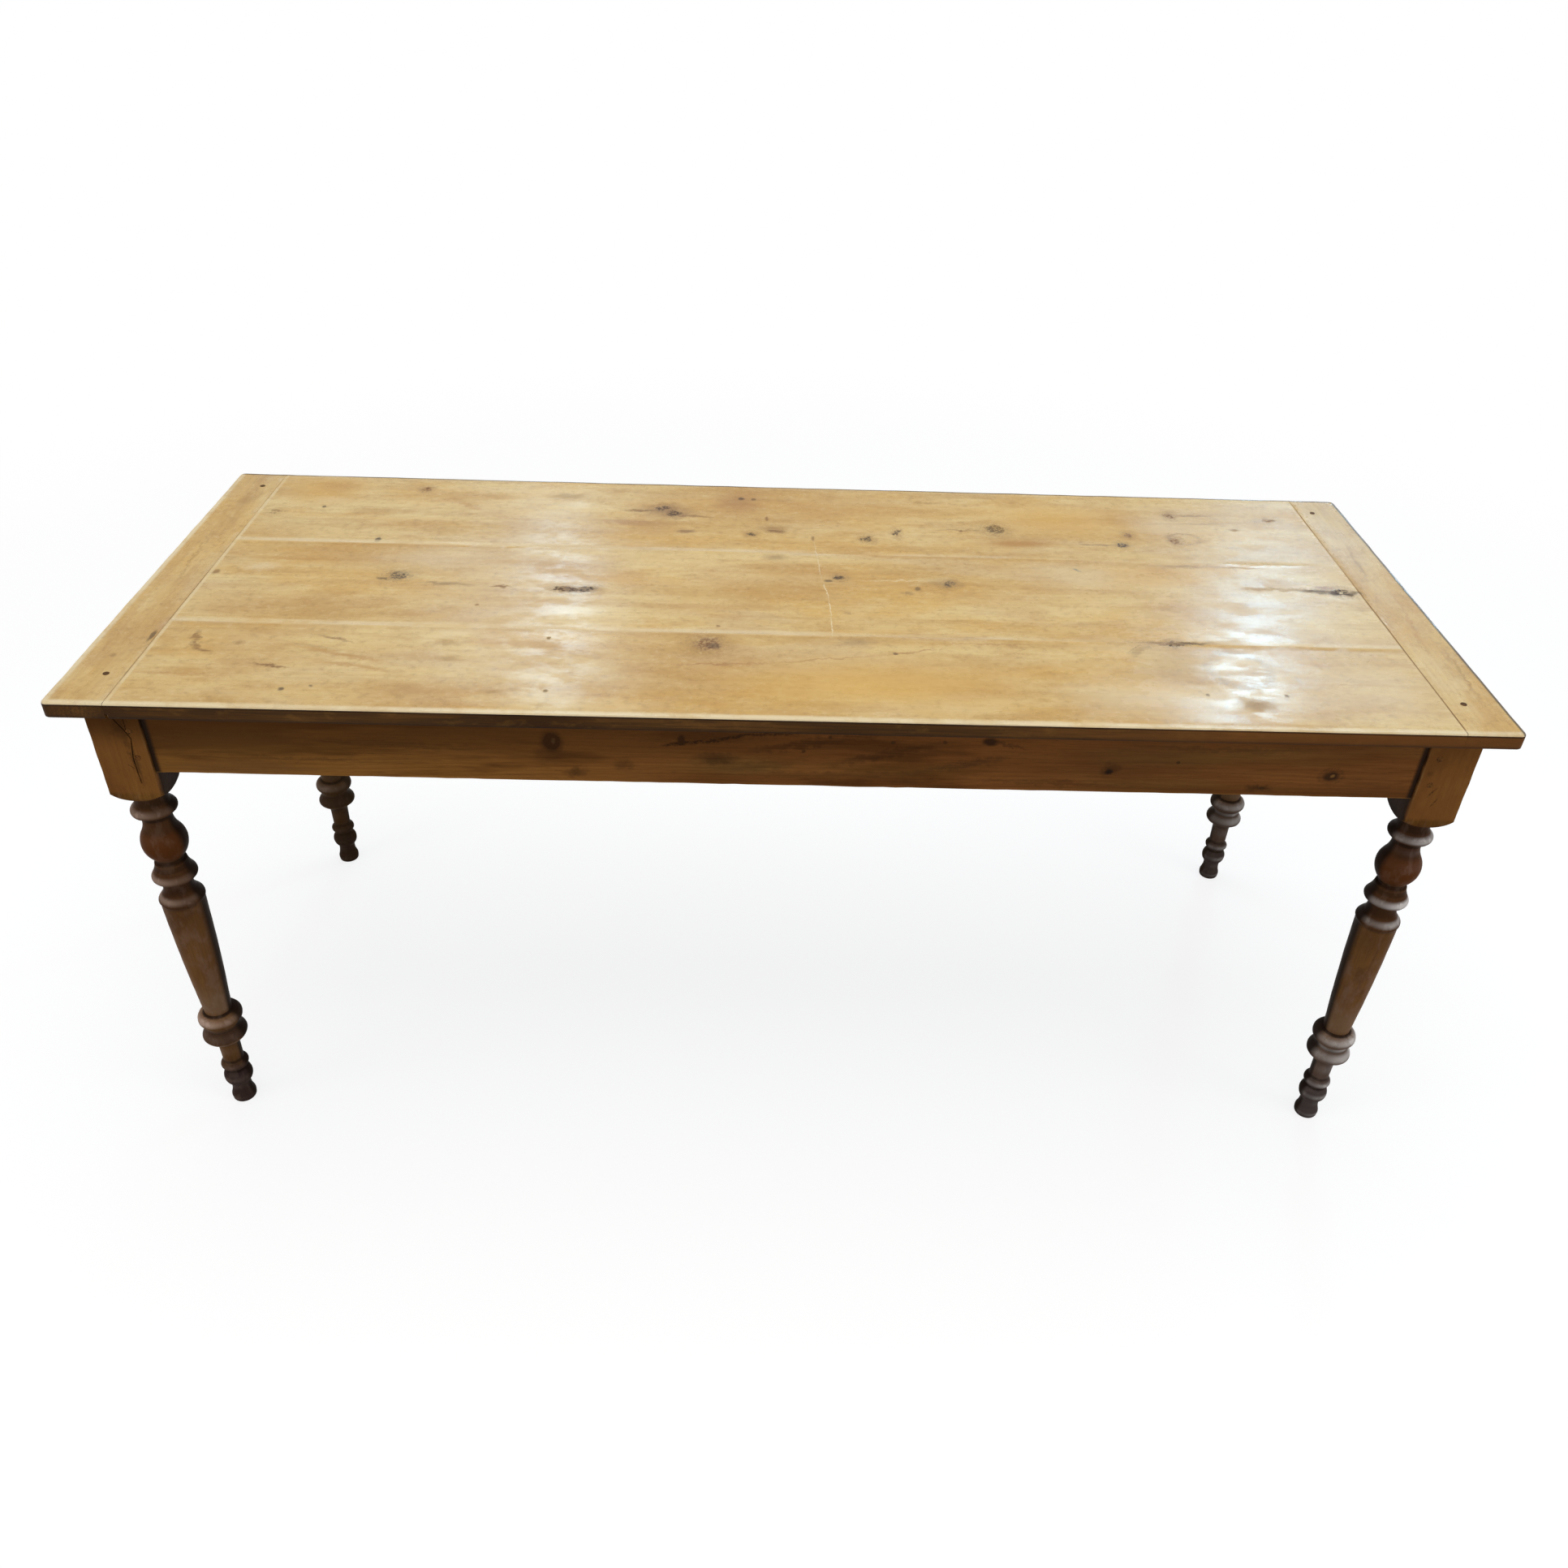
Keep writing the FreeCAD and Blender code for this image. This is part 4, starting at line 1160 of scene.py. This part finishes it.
def wear_board(piece, sizes, seeds):
    """Hollow the upper face of a board of the top a little, and wear what it has of the top's rim."""
    rim = lambda p, reach: abs(p.x) > half_length - reach or abs(p.y) > half_width - reach
    wear(piece, lambda p: p.z > table_height - 0.3 * mm,
         grain=0.11, depth=sizes.face_wave, seed=seeds[0], direction="Z")
    wear(piece, lambda p: p.z > table_height - 6 * mm and rim(p, 5 * mm),
         grain=0.045, depth=sizes.edge_wear, seed=seeds[1])
    wear(piece, lambda p: p.z < underside + 4 * mm and rim(p, 3 * mm),
         grain=0.05, depth=sizes.edge_wear * 0.5, seed=seeds[2])


def top_peg_drills(side, low, high):
    """Drills for the pegs of one breadboard end that stand between two places across the top."""
    return [drill((side * top_peg_x, y, underside - overshoot), (side * top_peg_x, y, table_height + overshoot))
            for y in top_peg_ys if low < y < high]


def model_plank(name, sizes):
    """One long board: worn edges, tongue, groove, end tongues and end tenons."""
    (front, back), tongue, (tenon_middle, tenon_width) = planks[name]
    outer_front, outer_back = name == "plank_front", name == "plank_back"
    piece = block(name + "_worn", (-plank_end, front, underside), (plank_end, back, table_height))
    edit(piece)
    for y, outer in ((front, outer_front), (back, outer_back)):
        edge_at = lambda z: lambda e: runs(e, 0) and near(middle(e).y, y) and near(middle(e).z, z)
        round_over(edge_at(table_height), *((sizes.outer_arris, 4) if outer else (sizes.joint_arris, 1)))
        if outer:
            round_over(edge_at(underside), sizes.under_arris, 2)
    divide(0, round(2 * plank_end / sizes.station))
    tenon_ys = (tenon_middle - tenon_width / 2, tenon_middle + tenon_width / 2)
    slice_at(2, tongue_zs)
    places = {round(place, 6) for place in tenon_ys + tongue} - {round(front, 6), round(back, 6)}
    slice_at(1, sorted(places))
    slice_at(1, [y for y in spread(front, back, strip) if all(abs(y - place) > 3 * mm for place in places)])
    guard = half_width - sizes.outer_arris - 0.5 * mm
    slice_at(1, [-guard] if outer_front else [guard] if outer_back else [])
    close()
    seed = round((front + back) * 7) + 3
    wear_board(piece, sizes, (seed, seed + 1, seed + 2))
    edit(piece)
    if not outer_back:
        pull(lambda f: near(middle(f).y, back) and within(middle(f).z, tongue_zs) and abs(f.normal.y) > 0.9,
             (0, edge_tongue, 0))
    for side in (-1, 1):
        end = side * plank_end
        pull(lambda f: near(middle(f).x, end) and within(middle(f).z, tongue_zs) and within(middle(f).y, tongue, 0),
             (side * end_tongue, 0, 0))
        pull(lambda f: near(middle(f).x, end + side * end_tongue) and abs(f.normal.x) > 0.9
             and within(middle(f).y, tenon_ys), (side * (end_tenon - end_tongue), 0, 0))
    close()
    if not outer_front:
        cut(piece, [block("groove", (-plank_end - 2 * overshoot, front - overshoot, groove_zs[0]),
                          (plank_end + overshoot, front + edge_tongue + joint_play, groove_zs[1]))])
    tools = top_peg_drills(-1, front, back) + top_peg_drills(1, front, back)
    if tools:
        cut(piece, tools)
    if outer_front:
        cut(piece, [block("chip", (-plank_end - 0.5 * mm, front - 2 * mm, underside - 2 * mm),
                          (-plank_end + 4 * mm, front + 5 * mm, underside + 7 * mm))])
    return piece


def model_breadboard(name, side, sizes):
    """A board across the plank ends, with rounded outer corners, a groove and mortises."""
    inner, outer = side * plank_end, side * half_length
    piece = block(name + "_worn", (inner, -half_width, underside), (outer, half_width, table_height))
    edit(piece)
    round_over(lambda e: runs(e, 2) and near(middle(e).x, outer), sizes.corner_radius, 6)
    for z, width, segments in ((table_height, sizes.outer_arris, 4), (underside, sizes.under_arris, 2)):
        round_over(lambda e: all(near(point.co.z, z) for point in e.verts) and not near(middle(e).x, inner),
                   width, segments)
    round_over(lambda e: runs(e, 1) and near(middle(e).z, table_height) and near(middle(e).x, inner),
               sizes.joint_arris, 1)
    slice_at(1, spread(-half_width + strip, half_width - strip, sizes.station))
    slice_at(0, spread(inner, outer - side * 10 * mm, strip))
    guard = sizes.outer_arris + 0.5 * mm
    slice_at(0, [outer - side * guard])
    slice_at(1, (guard - half_width, half_width - guard))
    close()
    cut(piece, top_peg_drills(side, -half_width, half_width))
    groove_reach = half_width - end_tongue_inset + tenon_play
    groove_end = inner + side * (end_tongue + end_play)
    cutter = block("groove", (inner - side * overshoot, -groove_reach, groove_zs[0]),
                   (groove_end, groove_reach, groove_zs[1]))
    spans = [(centre - width / 2 - tenon_play, centre + width / 2 + tenon_play)
             for centre, width in (plank[2] for plank in planks.values())]
    edit(cutter)
    slice_at(1, [place for ends in spans for place in ends])
    pull(lambda f: near(middle(f).x, groove_end) and any(within(middle(f).y, ends, 0) for ends in spans),
         (side * (end_tenon - end_tongue), 0, 0))
    everything()
    bpy.ops.mesh.normals_make_consistent(inside=False)
    close()
    cut(piece, [cutter])
    wear_board(piece, sizes, (11 + side, 21 + side, 31 + side))
    return piece


def arc_points(start, through, end, count):
    """Points on the arc from start to end through a third point, without the start."""
    (ax, ay), (bx, by), (cx, cy) = start, through, end
    a, b, c = (x * x + y * y for x, y in (start, through, end))
    d = 2 * (ax * (by - cy) + bx * (cy - ay) + cx * (ay - by))
    ux = (a * (by - cy) + b * (cy - ay) + c * (ay - by)) / d
    uy = (a * (cx - bx) + b * (ax - cx) + c * (bx - ax)) / d
    radius = math.hypot(ax - ux, ay - uy)
    first = math.atan2(ay - uy, ax - ux)
    turn = lambda x, y: (math.atan2(y - uy, x - ux) - first) % (2 * math.pi)
    sweep = turn(cx, cy)
    if turn(bx, by) > sweep:
        sweep -= 2 * math.pi
    angles = [first + sweep * index / count for index in range(1, count + 1)]
    return [(ux + radius * math.cos(angle), uy + radius * math.sin(angle)) for angle in angles]


def leg_outline():
    """The outline of the turned leg as radius and height, from the top of its head to the sole."""
    half = leg_size / 2
    neck = 0.70 * half
    wide = half * math.sqrt(2) + 5 * mm
    rise = block_bottom + 5 * mm - turning_top
    through = (neck + 0.62 * (wide - neck), turning_top + 0.33 * rise)
    points = [(wide, underside), (wide, turning_top + rise)]
    points += arc_points((wide, turning_top + rise), through, (neck, turning_top), 14)
    sections = (
        (upper_shares, turning_top, turning_top - taper_top),
        ([("arc", (0.765, 0.5), (0.575, 1.0))], taper_top, taper_top - lower_turning),
        (lower_shares, lower_turning, lower_turning),
    )
    for table, top, length in sections:
        for kind, *shares in table:
            stops = [(radius * half, top - height * length) for radius, height in shares]
            if kind == "line":
                points += stops
            else:
                run = math.dist(points[-1], stops[1])
                points += arc_points(points[-1], stops[0], stops[1], max(5, min(18, round(run / (1.6 * mm)))))
    return points


def turn_leg(sizes):
    """Turn a leg between centres at the origin and square its head."""
    piece = trace((0, 0, underside), leg_outline() + [(0.0, 0.0)])
    piece.name = "turned_leg"
    bpy.ops.mesh.spin(steps=sizes.lathe_steps, angle=math.tau, center=(0, 0, 0), axis=(0, 0, 1))
    everything()
    bpy.ops.mesh.remove_doubles(threshold=0.01 * mm)
    bpy.ops.mesh.normals_make_consistent(inside=False)
    close()
    wear(piece, lambda p: 2 * mm < p.z < turning_top - 2 * mm and p.to_2d().length > 1 * mm,
         grain=0.02, depth=0.7 * mm)
    half = leg_size / 2
    prism = block("squared_head", (-half, -half, -10 * mm), (half, half, underside + 10 * mm))
    edit(prism)
    round_over(lambda e: runs(e, 2), sizes.leg_arris, 3)
    divide(2, 110)
    for axis in (0, 1):
        slice_at(axis, [half * share for share in (-0.66, -0.33, 0, 0.33, 0.66)])
    close()
    wear(prism, lambda p: abs(p.x) > half - 3 * mm and abs(p.y) > half - 3 * mm
         and turning_top - 5 * mm < p.z < underside - 2 * mm, grain=0.024, depth=1.5 * mm)
    wear(prism, lambda p: turning_top < p.z < underside - 2 * mm, grain=0.09, depth=0.6 * mm)
    cut(piece, [prism], "INTERSECT")
    return piece


def ribbon_cut(points, width, depth, face_y, centre_x):
    """A thin bent blade that cuts a drying crack into the front face of a leg's head."""
    (x, z), *rest = [(centre_x + x * mm, z * mm) for x, z in points]
    blade = trace((x, face_y - 2 * mm, z), rest)
    bpy.ops.mesh.extrude_edges_move(TRANSFORM_OT_translate={"value": (0, depth + 2 * mm, 0)})
    close()
    modifier = blade.modifiers.new("width", "SOLIDIFY")
    modifier.thickness = width
    modifier.offset = 0
    bpy.ops.object.modifier_apply(modifier="width")
    return blade


def lay(axis, along, across, up):
    """A place by its distances along and across a piece that runs along X (0) or Y (1)."""
    return (across, along, up) if axis else (along, across, up)


def leg_peg_drills(corner, axis):
    """Drills for the two pegs of one leg that pass through the tenon of the apron along X (0) or Y (1)."""
    reach, outside = ((leg_inner_x, leg_y), (leg_inner_y, leg_x))[axis]
    along = corner[axis] * (reach + leg_peg_inset)
    face = outside + leg_size / 2
    across = [corner[1 - axis] * place for place in (face + overshoot, face - leg_peg_length - end_play)]
    centre = (tenon_bottom + tenon_top) / 2
    return [drill(*(lay(axis, along, place, centre + rise) for place in across))
            for rise in (-leg_peg_rise, leg_peg_rise)]


def model_leg(turned, name, index):
    """Set a copy of the turned leg at its corner and cut its mortises, peg holes and cracks."""
    corner = corners[name]
    piece = turned.copy()
    piece.data = turned.data.copy()
    piece.name = piece.data.name = "leg_" + name + "_turned"
    bpy.context.scene.collection.objects.link(piece)
    only(piece)
    piece.rotation_euler = (0, 0, math.radians(90 * index))
    piece.location = (corner[0] * leg_x, corner[1] * leg_y, 0)
    bpy.ops.object.transform_apply(location=True, rotation=True, scale=True)
    half = tenon_thickness / 2 + joint_play
    for axis, (reach, line) in enumerate(apron_lines):
        end, side = corner[axis], corner[1 - axis]
        mouth = lay(axis, end * (reach - overshoot), side * line - half, tenon_bottom - joint_play)
        floor = lay(axis, end * (reach + tenon_length + end_play), side * line + half, tenon_top + joint_play)
        cut(piece, [block("mortise", mouth, floor)])
    for axis in (0, 1):
        cut(piece, leg_peg_drills(corner, axis))
    if name == "front_left":
        for points, width in HEAD_CRACKS:
            cut(piece, [ribbon_cut(points, width * mm, crack_depth, -leg_y - leg_size / 2, -leg_x)])
    return piece


def model_apron(name, axis, side, seed, sizes):
    """An apron along X (0) or Y (1): tenons, button slot, peg holes and, along X, a mortise for the rail."""
    reach, line = apron_lines[axis]
    across = 1 - axis
    outer, inner = side * (line + apron_thickness / 2), side * (line - apron_thickness / 2)
    piece = block(name + "_worn", lay(axis, -reach, outer, apron_bottom), lay(axis, reach, inner, underside))
    edit(piece)
    round_over(lambda e: runs(e, axis) and near(middle(e).z, apron_bottom), 1.5 * mm, 2)
    divide(axis, round(2 * reach / (sizes.station * 1.3)))
    tenon = (side * line - tenon_thickness / 2, side * line + tenon_thickness / 2)
    tenon_zs = (tenon_bottom, tenon_top)
    slice_at(across, tenon)
    slice_at(2, tenon_zs)
    slice_at(2, spread(*tenon_zs, 13 * mm))
    close()
    clear_of_ends = lambda p: abs(p[axis]) < reach - 4 * mm
    wear(piece, lambda p: abs(p[across] - outer) < 0.2 * mm and clear_of_ends(p) and p.z < underside - 1 * mm,
         grain=0.13, depth=0.8 * mm, seed=seed)
    wear(piece, lambda p: p.z < apron_bottom + 2 * mm and clear_of_ends(p), grain=0.03, depth=1.2 * mm, seed=seed + 4)
    edit(piece)
    for end in (-1, 1):
        pull(lambda f: near(middle(f)[axis], end * reach) and within(middle(f)[across], tenon, 0)
             and within(middle(f).z, tenon_zs, 0), lay(axis, end * tenon_length, 0, 0))
    close()
    cut(piece, [block("slot", lay(axis, -reach - end_play, inner - side * overshoot, slot_bottom),
                      lay(axis, reach + end_play, inner + side * slot_depth, slot_top))])
    if axis == 0:
        half = rail_tenon_thickness / 2 + joint_play
        cut(piece, [block("mortise", (-half, inner - side * overshoot, rail_low.z + rail_shoulder - joint_play),
                          (half, inner + side * (rail_tenon_length + end_play),
                           slot_bottom - rail_shoulder + joint_play))])
    cut(piece, [tool for end in (-1, 1) for tool in leg_peg_drills(lay(axis, end, side, 0), axis)])
    return piece


# Operators


class TABLE_OT_stage(bpy.types.Operator):
    """Set the floor, the soft light and the camera"""

    bl_idname = "table.stage"
    bl_label = "Stage"

    def execute(self, context):
        scene = context.scene
        scene.view_settings.view_transform = "Standard"
        self.floor()
        self.surroundings(scene)
        for name, settings in LAMPS.items():
            self.lamp(name, *settings)
        camera = bpy.data.cameras.new("camera")
        camera.lens = 30.03
        camera.sensor_width = 36
        camera.shift_x = -0.01009
        camera.shift_y = 0.00284
        stand = bpy.data.objects.new("camera", camera)
        stand.location = (-0.02504, -1.70615, 1.61759)
        stand.rotation_euler = [math.radians(angle) for angle in (54.4784, -1.7185, -0.335)]
        scene.collection.objects.link(stand)
        scene.camera = stand
        return {"FINISHED"}

    def seen(self, nodes):
        """One for rays that show the background, and nothing for those that light the table."""
        rays = nodes.add("LightPath").outputs
        shown = nodes.maths("MAXIMUM", rays["Is Camera Ray"], rays["Is Glossy Ray"])
        return nodes.maths("MAXIMUM", shown, rays["Is Transmission Ray"])

    def floor(self):
        """A plain pale floor that keeps the table's shadow."""
        floor = add(bpy.ops.mesh.primitive_plane_add, size=60, location=(0, 0, -0.2 * mm))
        floor.name = "floor"
        material = bpy.data.materials.new("pale_floor")
        nodes = Nodes(material)
        place = nodes.add("TexCoord").outputs["Object"]
        far = nodes.fade(nodes.vector("LENGTH", place, output=1), 1.2, 3.5)
        level = 0.30 - far * 0.30
        plain = nodes.add("BsdfDiffuse", None, {"Color": (0.32, 0.32, 0.32, 1)})
        paper = nodes.add("BsdfDiffuse", None, {"Color": nodes.point(level, level, level)})
        glow = nodes.add("Emission", None, {"Color": (1, 1, 1, 1), "Strength": 0.79 + far * 0.21})
        white = nodes.add("AddShader", None, {0: paper.outputs[0], 1: glow.outputs[0]})
        both = nodes.add("MixShader", None, {0: self.seen(nodes), 1: plain.outputs[0], 2: white.outputs[0]})
        nodes.add("OutputMaterial", None, {"Surface": both.outputs[0]})
        floor.data.materials.append(material)

    def surroundings(self, scene):
        """A white room with a dimmer ceiling, which lights the table less than it shows."""
        scene.world = bpy.data.worlds.new("soft_room")
        nodes = Nodes(scene.world)
        height = nodes.split(nodes.add("TexCoord").outputs["Generated"])[2]
        ceiling = nodes.number("MapRange", None, {
            "Value": height, "From Min": 0.12, "From Max": 0.34, "To Min": 1.0, "To Max": 0.5})
        level = nodes.number("MapRange", None, {"Value": self.seen(nodes), "To Min": 0.27, "To Max": ceiling})
        background = nodes.add("Background", None, {"Color": (1, 1, 1, 1), "Strength": level})
        nodes.add("OutputWorld", None, {"Surface": background.outputs[0]})

    def lamp(self, name, place, aim, size, power, colour, roll=0):
        """A soft box aimed at a point and turned about that line by some degrees."""
        light = bpy.data.lights.new(name, "AREA")
        light.color = colour
        light.shape = "RECTANGLE"
        light.size, light.size_y = size
        light.energy = power
        lamp = bpy.data.objects.new(name, light)
        lamp.location = place
        facing = (Vector(aim) - Vector(place)).to_track_quat("-Z", "Y")
        lamp.rotation_euler = (facing @ Quaternion((0, 0, 1), math.radians(roll))).to_euler()
        lamp.visible_camera = False
        bpy.context.scene.collection.objects.link(lamp)


def finish_board(piece, name, order, face, seed):
    """Give a board of the top its finishes: bare inside and underneath, dark edges and a waxed face."""
    finish_piece(piece, [
        (bare_wood(name + "_bare", order, seed), lambda p: True),
        (edge_wood(name + "_edge", order, seed),
         lambda p: abs(p.x) > half_length - coat_reach or abs(p.y) > half_width - coat_reach
         or (abs(p.x) > half_length - 9 * mm and abs(p.y) > half_width - 9 * mm and p.z > underside + 1 * mm)),
        (face, lambda p: p.z > table_height - 2.8 * mm and p.x < half_length - 3 * mm and p.y < half_width - 3 * mm),
        (joint_dirt(name + "_joint"), lambda p: abs(abs(p.x) - plank_end) < 0.4 * mm),
    ], name)


class TABLE_OT_planks(bpy.types.Operator):
    """Model the three long planks of the top"""

    bl_idname = "table.planks"
    bl_label = "Planks"

    def execute(self, context):
        for name, seed, ring, pith in (("plank_front", 2.0, 7.5 * mm, (-0.20, table_height - 0.10)),
                                       ("plank_middle", 31.0, 8.5 * mm, (0.10, table_height - 0.09)),
                                       ("plank_back", 57.0, 7.0 * mm, (0.30, table_height - 0.12))):
            front, back = planks[name][0]
            piece = model_plank(name, context.scene.table_sizes)
            seams = [("Y", y, 1) for y in (front, back) if abs(y) < half_width - 1 * mm]
            seams += [("X", -plank_end, 1), ("X", plank_end, -1)]
            face = top_wood(name + "_wax", "XYZ", (-half_length, front), (half_length, back),
                            seed, ring, pith, seams)
            finish_board(piece, name, "XYZ", face, seed)
        return {"FINISHED"}


class TABLE_OT_breadboards(bpy.types.Operator):
    """Model the boards across the ends of the top"""

    bl_idname = "table.breadboards"
    bl_label = "Breadboard ends"

    def execute(self, context):
        for side, name, seed in ((-1, "breadboard_left", 71.0), (1, "breadboard_right", 93.0)):
            piece = model_breadboard(name, side, context.scene.table_sizes)
            low, high = sorted((side * plank_end, side * half_length))
            face = top_wood(name + "_wax", "YXZ", (low, -half_width), (high, half_width), seed, 6.0 * mm,
                            (side * 0.93, table_height - 0.07), [("X", side * plank_end, -side)])
            finish_board(piece, name, "YXZ", face, seed)
        return {"FINISHED"}


class TABLE_OT_legs(bpy.types.Operator):
    """Turn one leg and set four copies at the corners"""

    bl_idname = "table.legs"
    bl_label = "Turned legs"

    def execute(self, context):
        turned = turn_leg(context.scene.table_sizes)
        for index, (name, corner) in enumerate(corners.items()):
            piece = model_leg(turned, name, index)
            finish = leg_wood("leg_" + name + "_wood", corner, 7.0 + 19 * index, LEG_MARKS[name])
            finish_piece(piece, [(finish, lambda p: True)], "leg_" + name, 32)
        bpy.data.objects.remove(turned)
        return {"FINISHED"}


class TABLE_OT_aprons(bpy.types.Operator):
    """Model the four aprons between the legs"""

    bl_idname = "table.aprons"
    bl_label = "Aprons"

    def execute(self, context):
        for name, axis, side, seed, marks, pith in (
                ("apron_front", 0, -1, 5.0, FRONT_APRON_MARKS, (0.71, 0.05)),
                ("apron_back", 0, 1, 25.0, BACK_APRON_MARKS, (0.71, 0.05)),
                ("apron_left", 1, -1, 45.0, SIDE_APRON_MARKS, (0.66, 0.06)),
                ("apron_right", 1, 1, 65.0, SIDE_APRON_MARKS, (0.66, 0.06))):
            order = ("XZY", "YZX")[axis]
            outer = side * (apron_lines[axis][1] + apron_thickness / 2)
            piece = model_apron(name, axis, side, 41 + 10 * axis + side, context.scene.table_sizes)
            finish = apron_wood(name + "_wax", order, seed, marks, (pith[0], outer - side * pith[1]))
            finish_piece(piece, [
                (bare_wood(name + "_bare", order, seed), lambda p: True),
                (finish, lambda p: side * p[1 - axis] > abs(outer) - coat_reach),
            ], name)
        return {"FINISHED"}


class TABLE_OT_fittings(bpy.types.Operator):
    """Give the pegs, the cross rail, the buttons and the screws their finishes"""

    bl_idname = "table.fittings"
    bl_label = "Pegs, rail, buttons and screws"

    def execute(self, context):
        long_button = bare_wood("button_wood_long", "YXZ", 13.0)
        short_button = bare_wood("button_wood_short", "XYZ", 23.0)
        finishes = {
            "breadboard_pegs": peg_wood("peg_end_grain", "peg_wood", 0.12),
            "leg_pegs": peg_wood("leg_peg_end_grain", "leg_peg", 0.015),
            "cross_rail": bare_wood("rail_wood", "YZX", 3.0),
            "buttons_front": long_button,
            "buttons_back": long_button,
            "buttons_left": short_button,
            "buttons_right": short_button,
            "screws": screw_steel("old_screw_steel"),
        }
        for name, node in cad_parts.items():
            for start, finish in finishes.items():
                if name.startswith(start):
                    node.data.materials.clear()
                    node.data.materials.append(finish)
        return {"FINISHED"}


class TABLE_PT_panel(bpy.types.Panel):
    """The table's operators, in the order in which they run"""

    bl_idname = "TABLE_PT_panel"
    bl_label = "Farmhouse table"
    bl_space_type = "VIEW_3D"
    bl_region_type = "UI"
    bl_category = "Table"

    def draw(self, context):
        for operator in OPERATORS:
            self.layout.operator(operator.bl_idname)
        for group in (context.scene.table_sizes, context.scene.table_colours):
            for name in group.__annotations__:
                self.layout.prop(group, name)


OPERATORS = (TABLE_OT_stage, TABLE_OT_planks, TABLE_OT_breadboards, TABLE_OT_legs, TABLE_OT_aprons,
             TABLE_OT_fittings)
CLASSES = (TableSizes, TableColours) + OPERATORS + (TABLE_PT_panel,)


def register():
    """Register the classes and give the scene its settings."""
    for entry in CLASSES:
        bpy.utils.register_class(entry)
    bpy.types.Scene.table_sizes = bpy.props.PointerProperty(type=TableSizes)
    bpy.types.Scene.table_colours = bpy.props.PointerProperty(type=TableColours)


def unregister():
    """Undo register."""
    del bpy.types.Scene.table_colours
    del bpy.types.Scene.table_sizes
    for entry in reversed(CLASSES):
        bpy.utils.unregister_class(entry)


def main():
    """Build the table."""
    register()
    bpy.ops.table.stage()
    bpy.ops.table.planks()
    bpy.ops.table.breadboards()
    bpy.ops.table.legs()
    bpy.ops.table.aprons()
    bpy.ops.table.fittings()


if __name__ == "__main__":
    main()
